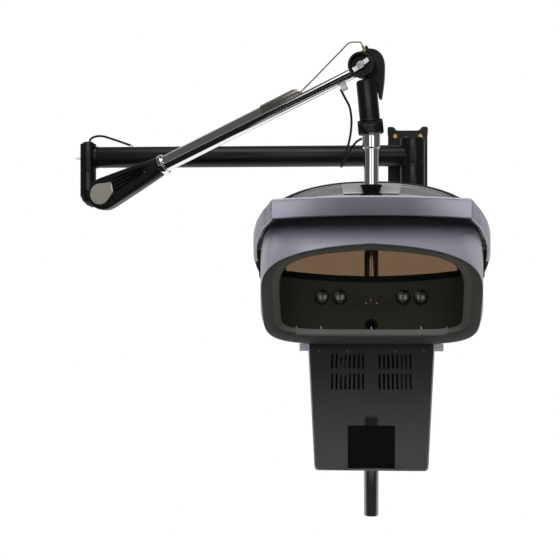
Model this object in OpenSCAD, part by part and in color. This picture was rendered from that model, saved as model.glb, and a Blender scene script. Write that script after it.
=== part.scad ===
// Hair steamer on a jointed wall arm. The origin is the centre of the wall plate's
// back face, on the wall. +Z is up and the operator faces the hood from -Y.

/* [Wall bracket] */
// Width of the wall plate
plate_w = 94; // [84:1:110]
// Height of the wall plate
plate_h = 166; // [150:1:190]
// Thickness of the wall plate
plate_t = 12; // [9:0.5:16]
// Distance between the wall screws, sideways
screw_dx = 60; // [52:1:66]
// Distance between the wall screws, up and down
screw_dz = 138; // [126:1:142]
// Radius of the wall screws' shanks
screw_r = 3; // [2.5:0.25:4]
// How far the wall screws reach into the wall
screw_reach = 34; // [20:1:50]
// Distance from the wall to the arm's upright pivot
pivot_out = 75; // [68:1:90]
// How far the pivot stands to the right of the plate's middle
pivot_side = 9.5; // [0:0.5:14]
// Radius of the pivot's post and sleeve
post_r = 29; // [27:0.5:32]
// Height of the turning sleeve
sleeve_h = 66; // [60:1:76]
// Radius of the pivot's spindle
spindle_r = 12; // [9:0.5:14]

/* [Wall arm] */
// Distance between the arm's two upright pivots
arm_len = 770; // [640:5:860]
// Outside radius of the arm's tube
arm_r = 25; // [22:0.5:27]
// Wall of the arm's tube
arm_wall = 2.5; // [1.5:0.25:4]
// Height of the arm's axis above the plate's middle
arm_z = 17; // [12:1:20]
// Radius of the elbow's post
elbow_r = 18.8; // [17:0.2:21]
// Height of the elbow's post above the split
elbow_h = 68; // [60:1:76]

/* [Lift arm] */
// Distance between the lift arm's two level pivots
lift_len = 681; // [600:1:740]
// Angle of the lift arm above the level
lift_tilt = 23.5; // [15:0.5:30]
// Angle of the lift arm away from the wall
lift_az = 14.85; // [13:0.05:24]
// Outside radius of the lift arm's tube
lift_r = 19; // [17:0.5:21]
// Wall of the lift arm's tube
lift_wall = 2; // [1.5:0.25:3]
// Distance from the elbow's axis forward to the tilt pivot
knuckle_reach = 61.6; // [58:0.2:72]
// Distance from the elbow's axis sideways to the lift arm's plane
lift_offset = 40.6; // [40:0.2:50]
// Height of the tilt pivot below the plate's middle
tilt_drop = 75; // [70:1:90]
// Length of the cast socket from the tilt pivot
socket_len = 160; // [140:1:180]
// Radius of the socket's large end
socket_r = 38; // [34:0.5:42]
// Depth of the socket across the tilt pivot
socket_w = 38; // [34:0.5:40]
// Radius of the tilt pivot's pin
tilt_pin_r = 8; // [6:0.5:10]
// Length of the half sleeve on the lift arm
saddle_len = 95; // [80:1:110]
// Distance from the head's pivot back to the half sleeve's open end
saddle_back = 152; // [140:1:170]
// Radius of the link rod
rod_r = 1.6; // [1.2:0.1:2]

/* [Head] */
// Radius of the head boss
boss_r = 28.4; // [27:0.2:30]
// Depth of the head boss
boss_w = 30; // [27:0.5:34]
// Inside radius of the head boss
boss_bore_r = 23; // [22:0.2:24]
// Distance of the rod's pin from the head's pivot
crank_r = 33.2; // [33:0.2:36]
// Radius of the carrier's tube
carrier_r = 22.4; // [21.8:0.2:24]
// Height of the carrier from the head's pivot to the collar
carrier_h = 121; // [112:1:130]
// Radius of the carrier's collar
collar_r = 28; // [27:0.2:31]
// Height of the carrier's collar
collar_h = 30; // [26:1:36]
// Distance of the pole's axis in front of the head's pivot
pole_ahead = 20; // [17:0.5:22]

/* [Pole] */
// Radius of the pole
pole_r = 15.9; // [15:0.1:17]
// Radius of the chrome sleeve at the pole's top
bush_r = 19.7; // [18.8:0.1:20.5]
// Length of the chrome sleeve below the collar
bush_h = 33; // [26:1:40]
// How far the pole stands out below the box
pole_tail = 114; // [90:1:140]

/* [Hood] */
// Distance from the collar down to the hood's floor
hood_drop = 456; // [445:1:480]
// Half of the hood's width at the mouth
hood_half = 225; // [215:1:235]
// Height of the mouth's upper edge over the floor
mouth_h = 208; // [200:1:216]
// Reach of the mouth's upper edge in front of the pole
mouth_top_y = 330; // [310:1:345]
// Reach of the mouth's lower edge in front of the pole
mouth_low_y = 130; // [122:1:135]
// Wall of the hood and the rear cover
shell_t = 3; // [2:0.25:4]
// Depth of the dark rim round the mouth
rim_t = 14; // [10:0.5:18]
// Half of the opening's width
open_half = 187.4; // [180:0.2:196]
// Height of the opening's upper edge over the floor
open_top = 195; // [188:0.5:197]
// Height of the opening's lower edge over the floor
open_low = 32; // [26:0.2:36]
// Height of the rear cover's crest over the floor
crest_h = 354; // [346:1:362]
// Distance from the pole back to the rear of the cover
rear_y = 112; // [100:1:125]
// Distance from the pole forward to the inner wall
inner_y = 60; // [50:1:70]
// Height of the sight window's lower edge over the floor
window_low = 144; // [135:1:150]

/* [Handle band] */
// Reach of the band's front face in front of the pole
band_y = 200; // [195:1:215]
// How much narrower the band's front face is than the mouth, each side
band_inset = 20; // [14:1:28]
// Height of the band's front face
band_h = 42; // [36:1:50]
// Thickness of the band
band_t = 10; // [7:0.5:11]
// Height of the band's lower edge over the floor
band_low = 260; // [258:1:270]

/* [Box] */
// Half of the box's width at its top
box_half = 134; // [128:1:145]
// Half of the box's width at its bottom
box_low_half = 120; // [112:1:128]
// Height of the box
box_h = 268; // [250:1:290]
// Reach of the box's front in front of the pole
box_y = 112; // [104:1:118]
// Reach of the box's rear behind the pole
box_rear = 78; // [70:1:90]
// Wall of the box
box_wall = 5; // [4:0.5:7]
// Thickness of the front panel
panel_t = 3; // [2:0.25:4]
// Distance between neighbouring vent slots
slot_pitch = 9.3; // [8.5:0.1:9.8]
// Width of a vent slot
slot_w = 4.2; // [3:0.1:5]
// Vent slots in a group
slot_count = 8; // [5:1:8]
// Half of the hatch's width
hatch_half = 49; // [42:1:56]
// Height of the hatch
hatch_h = 90; // [80:1:98]
// Half of the latch's width
latch_half = 12.5; // [9:0.5:16]
// Height of the latch
latch_h = 18; // [14:0.5:22]

/* [Leads] */
// Radius of the leads
lead_r = 2.6; // [2:0.1:3]

/* [Hidden] */
$fn = 64;
running = 0.05;
gap = 0.3;
wall_split_z = arm_z - arm_r - 0.3;
elbow_split_z = arm_z - arm_r - 11;
tilt_z = -tilt_drop;
elbow_x = pivot_side - arm_len;
lift_plan = knuckle_reach + lift_len * cos(lift_tilt);
head_x = elbow_x + lift_plan * cos(lift_az) - lift_offset * sin(lift_az);
head_y = -pivot_out - lift_plan * sin(lift_az) - lift_offset * cos(lift_az);
head_z = tilt_z + lift_len * sin(lift_tilt);
pole_back = 5;
pole_x = head_x + pole_ahead * cos(lift_az) + pole_back * sin(lift_az);
pole_y = head_y - pole_ahead * sin(lift_az) + pole_back * cos(lift_az);
seat_z = head_z - carrier_h - collar_h;
floor_z = seat_z - hood_drop;
mouth_lean = atan2(mouth_top_y - mouth_low_y, mouth_h);
carrier_lean = 5.6;
crank_x = 6;
crank_z = sqrt(crank_r * crank_r - crank_x * crank_x);
socket_front = -lift_offset - socket_w / 2;
boss_front = -boss_w / 2;
cheek_t = 12;
box_top = 0;
box_low = box_top - box_h;
outline_n = 48;
seam_y = 100;
side_level = 84;
band_half = hood_half - band_inset;
shoulder_r = screw_r + 1.2;

// Frames: the elbow's upright axis, the lift arm along +X, the head and the pole

module at_elbow() { translate([elbow_x, -pivot_out, 0]) rotate([0, 0, -lift_az]) children(); }
module at_lift() {
    at_elbow() translate([knuckle_reach, -lift_offset, tilt_z]) rotate([0, -lift_tilt, 0]) children();
}
module at_head() { translate([head_x, head_y, head_z]) rotate([0, 0, -lift_az]) children(); }
module at_seat() { translate([pole_x, pole_y, seat_z]) children(); }
module at_floor() { translate([pole_x, pole_y, floor_z]) children(); }
module level_pin(r, y0, y1) { translate([0, y1, 0]) rotate([90, 0, 0]) cylinder(r = r, h = y1 - y0); }

// Outline of the hood seen from the front: w half width, c widest level, t top, b bottom,
// nt and nb how square the upper and lower corners are, crown how far the top falls to the sides

function oval(w, c, t, b, nt, nb, crown = 0) = [for (i = [0:outline_n - 1]) let (a = 360 * i / outline_n,
    u = cos(a), v = sin(a), e = 2 / (v >= 0 ? nt : nb), s = pow(abs(u), e),
    h = v >= 0 ? (t - c) * (1 - crown * pow(s, 1.3)) : c - b)
    [w * sign(u) * s, c + h * sign(v) * pow(abs(v), e)]];

// Closed solid through rings of points, and the same through level rings [y, outline], front to back

module skin(rings) {
    n = len(rings[0]);
    m = len(rings);
    polyhedron(
        points = [for (r = rings) for (p = r) p],
        faces = concat(
            [[for (i = [n - 1:-1:0]) i]],
            [for (k = [0:m - 2]) for (i = [0:n - 1]) let (j = (i + 1) % n)
                [k * n + i, k * n + j, (k + 1) * n + j]],
            [for (k = [0:m - 2]) for (i = [0:n - 1]) let (j = (i + 1) % n)
                [k * n + i, (k + 1) * n + j, (k + 1) * n + i]],
            [[for (i = [0:n - 1]) (m - 1) * n + i]]));
}
module loft(rings) { skin([for (r = rings) [for (p = r[1]) [p[0], r[0], p[1]]]]); }

// Slab of space behind the leaning plane of the mouth, from depth a to depth b

module mouth_slab(a, b) {
    translate([0, -mouth_top_y, mouth_h]) rotate([mouth_lean - 90, 0, 0])
        translate([-500, -700, a]) cube([1000, 1400, b - a]);
}

// Tube swept along points: 8 sides, for the leads

function unit(v) = v / norm(v);
function along(p, i) = unit(p[min(i + 1, len(p) - 1)] - p[max(i - 1, 0)]);
function bend(a, b, c, d, t) = 0.5 * (2 * b + (c - a) * t + (2 * a - 5 * b + 4 * c - d) * t * t
    + (3 * b - a - 3 * c + d) * t * t * t);
function eased(p, n) = concat([for (i = [0:len(p) - 2]) for (k = [0:n - 1])
    bend(p[max(i - 1, 0)], p[i], p[i + 1], p[min(i + 2, len(p) - 1)], k / n)], [p[len(p) - 1]]);
module lead(points, r, side) {
    m = len(points);
    rings = [for (i = [0:m - 1]) let (t = along(points, i), u = unit(cross(t, side)), w = cross(t, u))
        for (k = [0:7]) points[i] + r * (cos(45 * k) * u + sin(45 * k) * w)];
    polyhedron(points = rings, faces = concat(
        [[for (k = [7:-1:0]) k]],
        [for (i = [0:m - 2]) for (k = [0:7]) let (j = (k + 1) % 8) [i * 8 + k, i * 8 + j, i * 8 + 8 + j]],
        [for (i = [0:m - 2]) for (k = [0:7]) let (j = (k + 1) % 8) [i * 8 + k, i * 8 + 8 + j, i * 8 + 8 + k]],
        [[for (k = [0:7]) (m - 1) * 8 + k]]));
}

// Wall bracket

plate_front = -plate_t;
lug_r = 9;
web_w = 46;
web_h = 51;
screw_top = [for (x = [-1, 1]) for (z = [-1, 1]) [x * screw_dx / 2, z * screw_dz / 2]];

module wall_bracket() {
    color("#17171a") difference() {
        union() {
            translate([-plate_w / 2, plate_front, -plate_h / 2]) cube([plate_w, plate_t, plate_h]);
            for (x = [-1, 1]) hull() {
                translate([x * (plate_w / 2 - lug_r), 0, plate_h / 2]) rotate([90, 0, 0])
                    cylinder(r = lug_r, h = plate_t, $fn = 32);
                translate([x * (plate_w / 2 - lug_r) - lug_r, plate_front, plate_h / 2 - 20])
                    cube([2 * lug_r, plate_t, 10]);
            }
            translate([pivot_side, -pivot_out, wall_split_z - sleeve_h - gap]) cylinder(r = post_r, h = sleeve_h);
            translate([pivot_side - web_w / 2, -pivot_out, wall_split_z - gap - web_h])
                cube([web_w, pivot_out - plate_t + 1, web_h]);
            translate([pivot_side, -pivot_out, wall_split_z - sleeve_h - gap - 8])
                cylinder(r1 = post_r - 8, r2 = post_r, h = 8);
        }
        translate([pivot_side, -pivot_out, wall_split_z - 50]) cylinder(r = spindle_r, h = 60);
        for (p = screw_top) translate([p[0], 1, p[1]]) rotate([90, 0, 0]) cylinder(r = shoulder_r, h = plate_t + 12);
    }
}

module wall_screws() {
    color("#b99b4a") for (p = screw_top) translate([p[0], 0, p[1]]) rotate([90, 0, 0]) {
        translate([0, 0, -screw_reach]) cylinder(r = screw_r, h = screw_reach + 1);
        cylinder(r = shoulder_r, h = plate_t + 1);
        translate([0, 0, plate_t]) difference() {
            cylinder(r1 = shoulder_r + 1.8, r2 = shoulder_r + 0.4, h = 3.4);
            for (a = [0, 90]) rotate([0, 0, a]) translate([-3, -0.6, 1.6]) cube([6, 1.2, 3]);
        }
    }
}

module pivot_spindle() {
    color("#8b8d90") translate([pivot_side, -pivot_out, wall_split_z - 50])
        cylinder(r = spindle_r, h = 50 + sleeve_h - 6);
}

module pivot_sleeve() {
    color("#141416") translate([pivot_side, -pivot_out, wall_split_z]) difference() {
        cylinder(r = post_r, h = sleeve_h - 3);
        translate([0, 0, -1]) cylinder(r = spindle_r + running, h = sleeve_h);
        translate([0, 0, 6]) rotate_extrude() translate([post_r, 0]) circle(r = 1.2);
    }
}

module sleeve_cap() {
    color("#1b1b1d") translate([pivot_side, -pivot_out, wall_split_z + sleeve_h - 3]) difference() {
        union() {
            cylinder(r = post_r - 3, h = 3);
            translate([0, 0, 3]) cylinder(r1 = post_r - 6, r2 = post_r - 12, h = 4);
        }
        translate([0, 0, -1]) cylinder(r = spindle_r + 1, h = 3);
    }
}

// Wall arm

tube_x0 = elbow_x + elbow_r + 4;

module arm_tube() {
    color("#141415") difference() {
        translate([tube_x0, -pivot_out, arm_z]) rotate([0, 90, 0]) cylinder(r = arm_r, h = pivot_side - tube_x0);
        translate([tube_x0 - 1, -pivot_out, arm_z]) rotate([0, 90, 0])
            cylinder(r = arm_r - arm_wall, h = pivot_side - tube_x0 + 2);
        translate([pivot_side, -pivot_out, arm_z - 60]) cylinder(r = post_r + 0.02, h = 120);
    }
}

module elbow_post() {
    color("#18181a") difference() {
        union() {
            translate([elbow_x, -pivot_out, elbow_split_z]) cylinder(r = elbow_r, h = elbow_h);
            translate([elbow_x + elbow_r - 6, -pivot_out, arm_z]) rotate([0, 90, 0]) cylinder(r = arm_r - 4, h = 9);
            translate([tube_x0 - 5, -pivot_out, arm_z]) rotate([0, 90, 0]) cylinder(r = arm_r + 1.4, h = 5);
            translate([tube_x0, -pivot_out, arm_z]) rotate([0, 90, 0]) cylinder(r = arm_r - arm_wall, h = 14);
        }
        translate([elbow_x, -pivot_out, elbow_split_z - 1]) cylinder(r = 10 + running, h = elbow_h - 8);
        translate([elbow_x - elbow_r - 1, -pivot_out, arm_z - 2]) rotate([0, 90, 0]) cylinder(r = 2.5, h = 6);
    }
}

module elbow_cap() {
    color("#1d1d20") {
        translate([elbow_x, -pivot_out, elbow_split_z + elbow_h]) cylinder(r1 = elbow_r - 3, r2 = elbow_r - 8, h = 5);
        translate([elbow_x - elbow_r - 9, -pivot_out, arm_z - 2]) rotate([0, 90, 0]) cylinder(r = 2.5, h = 14);
    }
}

cap_top = elbow_split_z + elbow_h + 5;
elbow_route = [[elbow_x + 4, -pivot_out, cap_top + 0.15], [elbow_x + 4.5, -pivot_out, cap_top + 5],
    [elbow_x + 10, -pivot_out - 0.5, cap_top + 10], [elbow_x + 21, -pivot_out - 1, cap_top + 13.5],
    [elbow_x + 37, -pivot_out - 2, cap_top + 13], [elbow_x + 60, -pivot_out - 2, cap_top + 6],
    [elbow_x + 86, -pivot_out - 1, arm_z + arm_r + 9], [elbow_x + 102, -pivot_out, arm_z + arm_r + 3.5]];

module elbow_lead() { color("#0f0f10") lead(eased(elbow_route, 4), lead_r, [0, 1, 0]); }

module elbow_grommets() {
    color("#8f8d86") difference() {
        translate([elbow_x + 105, -pivot_out, arm_z + arm_r - 2]) rotate([0, -25, 0]) cylinder(r1 = 5.4, r2 = 4.2, h = 6);
        translate([0, -pivot_out, arm_z]) rotate([0, 90, 0]) translate([0, 0, elbow_x]) cylinder(r = arm_r, h = 160);
        translate([elbow_x + 102, -pivot_out, arm_z + arm_r + 3.5]) rotate([0, 118, 0])
            translate([0, 0, -6]) cylinder(r = lead_r + 0.1, h = 6.5);
    }
}

// Elbow

module elbow_knuckle() {
    color("#161618") at_elbow() difference() {
        union() {
            translate([0, 0, tilt_z]) cylinder(r = elbow_r, h = elbow_split_z - gap - tilt_z);
            hull() {
                translate([0, 0, tilt_z]) cylinder(r = elbow_r - 0.4, h = 10, $fn = 32);
                translate([2.5, 0, tilt_z - 12]) cylinder(r = elbow_r - 3.5, h = 4, $fn = 32);
                translate([8, 0, tilt_z - 22]) cylinder(r = elbow_r - 9, h = 4, $fn = 32);
                translate([16, 0, tilt_z - 27]) cylinder(r = elbow_r - 13, h = 2, $fn = 32);
                translate([knuckle_reach, 0, tilt_z]) level_pin(22, socket_front + socket_w + gap, socket_front + socket_w + 12);
            }
        }
        translate([0, 0, elbow_split_z - gap - 24]) cylinder(r = 10, h = 40);
        translate([knuckle_reach, 0, tilt_z]) level_pin(tilt_pin_r, -60, 60);
    }
}

module elbow_spindle() {
    color("#8b8d90") at_elbow() translate([0, 0, elbow_split_z - gap - 24]) cylinder(r = 10, h = elbow_h + 12);
}

// Lift arm, drawn with its tube along +X and the tilt pivot at the origin

module cast_socket() {
    color("#19191b") at_lift() difference() {
        union() {
            hull() {
                translate([0, 0, 3]) level_pin(socket_r, -socket_w / 2 + 2, socket_w / 2 - 1.2, $fn = 40);
                translate([socket_len - 8, 0, 0]) rotate([0, 90, 0]) cylinder(r = lift_r + 3, h = 8, $fn = 40);
            }
            level_pin(tilt_pin_r + 10, -socket_w / 2, 0);
        }
        level_pin(tilt_pin_r + running, -60, 60);
        translate([socket_len - 40, 0, 0]) rotate([0, 90, 0]) cylinder(r = lift_r, h = 60);
        for (k = [-1:1]) translate([34, -socket_w / 2 - 4, k * 12]) rotate([0, k * 5.5, 0])
            translate([0, 0, -2]) cube([socket_len - 80, 7.5, 4]);
        for (k = [-1, 1]) translate([34, -lift_r - 5, k * 33]) rotate([0, k * 9, 0])
            translate([0, 0, -2]) cube([socket_len - 80, 60, 4]);
    }
}

module knuckle_cap() {
    color("#a7a39b") at_lift() translate([0, -socket_w / 2, 0]) rotate([90, 0, 0]) difference() {
        union() {
            linear_extrude(4) polygon([[10, 26], [32, 10], [34, -6], [14, -27], [-6, -18], [-6, 18]]);
            cylinder(r = 24.5, h = 5);
            translate([0, 0, 5]) cylinder(r1 = 23, r2 = 21, h = 1.5);
        }
        translate([0, 0, 5]) cylinder(r = 17, h = 4);
    }
}

module tilt_pin() {
    color("#9a9c9f") at_lift() level_pin(tilt_pin_r, -socket_w / 2 + 0.5, socket_w / 2 + 12);
}

module ferrule() {
    color("#d8dadd") at_lift() translate([socket_len, 0, 0]) rotate([0, 90, 0]) difference() {
        union() {
            cylinder(r = lift_r + 5, h = 9);
            translate([0, 0, 9]) cylinder(r1 = lift_r + 5, r2 = lift_r + 2, h = 3);
        }
        translate([0, 0, -1]) cylinder(r = lift_r, h = 20);
    }
}

saddle_x1 = lift_len - saddle_back;
saddle_x0 = saddle_x1 - saddle_len;

module lift_tube() {
    color("#c9ccd0") at_lift() difference() {
        translate([socket_len - 40, 0, 0]) rotate([0, 90, 0]) cylinder(r = lift_r, h = lift_len - socket_len + 40);
        translate([socket_len - 41, 0, 0]) rotate([0, 90, 0])
            cylinder(r = lift_r - lift_wall, h = lift_len - socket_len + 42);
        translate([saddle_x1 - 26, -30, 0]) cube([lift_len, 60, 60]);
        translate([lift_len, 0, 0]) level_pin(boss_r, -60, 60);
        translate([lift_len, 0, 0]) level_pin(boss_r + 6, 14, 60);
    }
}

module saddle() {
    color("#b9bcc0") at_lift() difference() {
        translate([saddle_x0, 0, 0]) rotate([0, 90, 0]) cylinder(r = lift_r + 2.4, h = saddle_len);
        translate([saddle_x0 - 1, 0, 0]) rotate([0, 90, 0]) cylinder(r = lift_r, h = saddle_len + 2);
        translate([saddle_x0 - 1, -40, -60.5]) cube([saddle_len + 2, 80, 60]);
        translate([saddle_x1 + 2, 0, 0]) cylinder(r = 16, h = 60);
    }
}

module balance_spring() {
    color("#55585c") at_lift() translate([socket_len + 10, 0, 0]) rotate([0, 90, 0]) difference() {
        union() {
            cylinder(r = lift_r - lift_wall - 2, h = 190);
            cylinder(r = lift_r - lift_wall, h = 8);
        }
        translate([0, 0, 12]) cylinder(r = 8, h = 200);
    }
}

module head_boss() {
    color("#1a1a1c") at_lift() translate([lift_len, 0, 0]) difference() {
        level_pin(boss_r, boss_front, boss_w / 2);
        level_pin(boss_bore_r, boss_front - 1, boss_front + 14);
        level_pin(6 + running, -60, 60);
        level_pin(boss_bore_r - 6, boss_w / 2 - 6, boss_w / 2 + 1);
    }
}

clip_back = 60;

module lead_clip() {
    color("#b4b0a6") at_lift() translate([lift_len - clip_back + 4, 0, 0]) difference() {
        translate([-6, -lead_r - 3, -lift_r - 14]) cube([12, 2 * lead_r + 6, 16]);
        translate([-20, -lead_r - 0.6, -lift_r - 20]) cube([40, 2 * lead_r + 1.2, 18]);
        translate([-40, 0, 0]) rotate([0, 90, 0]) cylinder(r = lift_r, h = 80);
    }
}

// The rod from the head's crank pin back into the lift arm's tube

rod_in = [lift_len - 165, 0, 4];
rod_pin = [lift_len + crank_x * cos(lift_tilt) + crank_z * sin(lift_tilt), 0,
    crank_z * cos(lift_tilt) - crank_x * sin(lift_tilt)];
rod_route = [rod_in - [70, 0, 0], rod_in - [20, 0, 0], rod_in + [8, 0, 2], [lift_len - 40, 0, 47],
    [lift_len - 14, 0, 56.5], [lift_len - 3, 0, 57.5], [lift_len + 8, 0, 53],
    rod_pin + [-1, 0, 20], rod_pin + [0, 0, 13], rod_pin + [0, 0, 4.4]];
module link_rod() { color("#8d8f92") at_lift() lead(eased(rod_route, 3), rod_r, [0, 1, 0]); }

module rod_eye() {
    color("#a08a52") at_lift() translate(rod_pin) difference() {
        union() {
            level_pin(4, -2.8, 2.8);
            cylinder(r = rod_r + 1, h = 11);
        }
        level_pin(1.5 + running, -10, 10);
        translate([0, 0, 4.2]) cylinder(r = rod_r + 0.02, h = 20);
    }
}

// Head

module head_carrier() {
    y0 = boss_w / 2 + gap;
    color("#17171a") at_head() difference() {
        union() {
            translate([5, 0, 0]) level_pin(32, y0, y0 + cheek_t);
            translate([crank_x, 0, crank_z]) level_pin(5.5, y0, y0 + 6);
            translate([crank_x - 4.5, y0, crank_z - 8]) cube([9, 6, 18]);
            translate([crank_x, 0, crank_z]) level_pin(1.5, -4, y0 + 1);
            hull() {
                translate([10, 0, -12]) level_pin(24, y0, y0 + cheek_t, $fn = 40);
                carrier_axis() translate([0, 0, 46]) cylinder(r = carrier_r - 0.4, h = 2, $fn = 40);
            }
            carrier_axis() cylinder(r = carrier_r, h = 50);
        }
        level_pin(6, -60, 60);
        difference() {
            level_pin(boss_r + 1, -60, y0);
            translate([crank_x, 0, crank_z]) level_pin(5.5, -4, y0 + 1);
        }
        translate([pole_ahead, pole_back, -carrier_h - 20]) cylinder(r = bush_r + running, h = 32);
    }
}
module carrier_axis() {
    translate([pole_ahead - 3, pole_back, -carrier_h]) rotate([0, -carrier_lean, 0]) children();
}

module carrier_collar() {
    color("#1c1c1f") at_head() difference() {
        translate([pole_ahead - 3, pole_back, -carrier_h]) rotate([0, -carrier_lean, 0]) translate([0, 0, -collar_h])
            cylinder(r = collar_r, h = collar_h);
        translate([pole_ahead, pole_back, -carrier_h - collar_h - 20]) cylinder(r = bush_r + running, h = collar_h + 60);
    }
}

module head_bolt() {
    color("#9fa2a6") at_head() union() {
        level_pin(6, boss_front + 6, boss_w / 2 + gap + cheek_t);
        translate([0, boss_front + 6, 0]) level_pin(8.5, -4, 0);
    }
}

module lever_plate() {
    color("#cfd1d3") at_head() rotate([0, -36, 0]) difference() {
        union() {
            translate([-20, boss_front + 6, -5]) cube([40, 3, 10]);
            translate([-20, boss_front + 2, -5]) cube([5, 4, 10]);
        }
        level_pin(8.5, -60, boss_front + 8);
        level_pin(6, -60, 60);
    }
}

clip_x = head_x - clip_back * cos(lift_tilt) * cos(lift_az);
clip_y = head_y + clip_back * cos(lift_tilt) * sin(lift_az);
clip_z = head_z - clip_back * sin(lift_tilt);
head_route = [[clip_x + 9, clip_y - 2, clip_z - 32], [clip_x + 15, clip_y - 2, clip_z - 44],
    [clip_x + 26, clip_y - 2, clip_z - 66], [clip_x + 30, clip_y - 1, clip_z - 92],
    [clip_x + 29, clip_y, clip_z - 118], [clip_x + 24, clip_y + 1, clip_z - 146],
    [clip_x + 16, clip_y + 4, clip_z - 170], [clip_x + 9, clip_y + 12, clip_z - 188],
    [clip_x + 7, clip_y + 26, clip_z - 195], [clip_x + 12, clip_y + 40, clip_z - 186],
    [clip_x + 22, clip_y + 46, clip_z - 166], [clip_x + 32, clip_y + 45, clip_z - 149],
    [clip_x + 44, clip_y + 36, clip_z - 138], [pole_x - 16, pole_y + 22, seat_z - 10],
    [pole_x - 10, pole_y + 22, seat_z - 3]];
module head_lead() { color("#101011") lead(eased(head_route, 3), lead_r, [0.1, 1, 0.05]); }

// Pole

module pole_sleeve() {
    color("#c4c7cb") at_seat() difference() {
        union() {
            translate([0, 0, 3 - bush_h]) cylinder(r = bush_r, h = bush_h + 22);
            translate([0, 0, -bush_h]) cylinder(r1 = pole_r + 1, r2 = bush_r, h = 3);
        }
        translate([0, 0, -bush_h - 1]) cylinder(r = pole_r, h = bush_h + 30);
    }
}

pole_low = floor_z + box_low - pole_tail;

tail_top = floor_z + box_low;
module pole() {
    color("#bfc2c6") translate([pole_x, pole_y, tail_top]) cylinder(r = pole_r, h = seat_z + 22 - tail_top);
}

module pole_tip() {
    color("#55565a") translate([pole_x, pole_y, pole_low + pole_r]) union() {
        cylinder(r = pole_r, h = pole_tail - pole_r);
        intersection() {
            sphere(r = pole_r);
            translate([-30, -30, -60]) cube([60, 60, 60]);
        }
    }
}

collar_low = crest_h - 31;
module pole_collar() {
    color("#131314") at_floor() translate([0, 0, collar_low]) difference() {
        union() {
            cylinder(r1 = pole_r + 1.5, r2 = pole_r + 7, h = 18);
            translate([0, 0, 18]) cylinder(r = pole_r + 7.7, h = 3);
        }
        translate([0, 0, -1]) cylinder(r = pole_r, h = 30);
    }
}

// Hood: rings [reach, widest level, top, half width, squareness] from the seam to the rear

seam_ring = [-seam_y, side_level + 34, mouth_h + 70, hood_half + 11, 5];
cover_rings = [seam_ring,
    [-60, 150, crest_h - 57, hood_half + 12, 4.2],
    [0, 180, crest_h - 31, hood_half + 14, 3.2],
    [32, 205, crest_h - 8, hood_half + 15, 2.5],
    [52, 214, crest_h, hood_half + 15, 2.5],
    [72, 210, crest_h - 5, hood_half + 13, 2.5],
    [rear_y - 16, 195, crest_h - 28, hood_half + 3, 2.5],
    [rear_y - 4, 180, crest_h - 60, hood_half - 6, 2.6],
    [rear_y, 170, crest_h - 84, hood_half - 16, 2.6]];
function grown(r, t) = [for (k = r) [k[0], oval(k[3] - t, k[1], k[2] - t, t, k[4], 4.5)]];
function moved(r, a, b) = [for (i = [0:len(r) - 1]) [r[i][0] + (i == 0 ? a : i == len(r) - 1 ? b : 0), r[i][1]]];

// The bell runs from the leaning plane behind the rim back to the upright seam

bell_steps = 6;
bell_bulge = 0.98;
function mouth_outline(t) = oval(hood_half - t, side_level, mouth_h - t, t, 3.9, 5, 0.2);
function mouth_y(z, depth) = -mouth_top_y + (depth + (mouth_h - z) * sin(mouth_lean)) / cos(mouth_lean);
function bell_ring(t, k, shift) = let (a = mouth_outline(t), b = grown([seam_ring], t)[0][1],
    u = k / bell_steps, v = u + bell_bulge * u * (1 - u))
    [for (i = [0:outline_n - 1]) let (y = mouth_y(a[i][1], rim_t))
        [a[i][0] + (b[i][0] - a[i][0]) * u, y + (-seam_y - y) * u + shift, a[i][1] + (b[i][1] - a[i][1]) * v]];
function bell(t, extra) = [for (k = [0:bell_steps])
    bell_ring(t, k, k == 0 ? -extra : k == bell_steps ? extra : 0)];

module hood_shell() {
    color("#8a8a95") at_floor() difference() {
        skin(bell(0, 0));
        skin(bell(shell_t, 1));
    }
}

function opening(t) = oval(open_half + t, open_level, open_top + t, open_low - t, 5.4, 5.3, 0.15);
open_level = 70;
liner_flare = 12;

module mouth_rim() {
    color("#353637") at_floor() difference() {
        intersection() {
            loft([[-mouth_top_y - 30, mouth_outline(0)], [-90, mouth_outline(0)]]);
            mouth_slab(0, rim_t);
        }
        loft([[-mouth_top_y - 40, opening(0)], [-80, opening(0)]]);
    }
}

module hood_liner() {
    color("#2c2c2a") at_floor() difference() {
        loft([[-mouth_top_y, opening(0.5 + shell_t)], [-inner_y, opening(liner_flare)]]);
        loft([[-mouth_top_y - 1, opening(0.5)], [-inner_y - 3, opening(liner_flare - shell_t)],
            [-inner_y + 1, opening(liner_flare - shell_t)]]);
        mouth_slab(-400, rim_t);
    }
}

// Inner wall with the nozzles below the sight window, whose lower edge sags in the middle

sag_r = 1430;
wall_t = 4;
nozzle_x = [-106, -68, 68, 106];
nozzle_z = 98;
nozzle_r = 16;
outlet_z = 38;
module below_window(extra) {
    translate([0, -inner_y - 20, window_low + extra + sag_r]) rotate([-90, 0, 0]) cylinder(r = sag_r, h = 60, $fn = 360);
}
module wall_blank() { loft([[-inner_y, opening(liner_flare)], [-inner_y + wall_t, opening(liner_flare)]]); }

module inner_wall() {
    color("#1d1d1b") at_floor() difference() {
        wall_blank();
        below_window(-14);
        for (x = nozzle_x) translate([x, 0, nozzle_z]) level_pin(nozzle_r - 2, -inner_y - 1, 0);
        translate([0, 0, outlet_z]) level_pin(12, -inner_y - 1, 0);
    }
}

module window_seal() {
    color("#0c0c0c") at_floor() difference() {
        intersection() {
            wall_blank();
            below_window(-14);
        }
        below_window(0);
    }
}

module sight_window() {
    color("#8a6f55", 0.5) at_floor() intersection() {
        wall_blank();
        below_window(0);
    }
}

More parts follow.
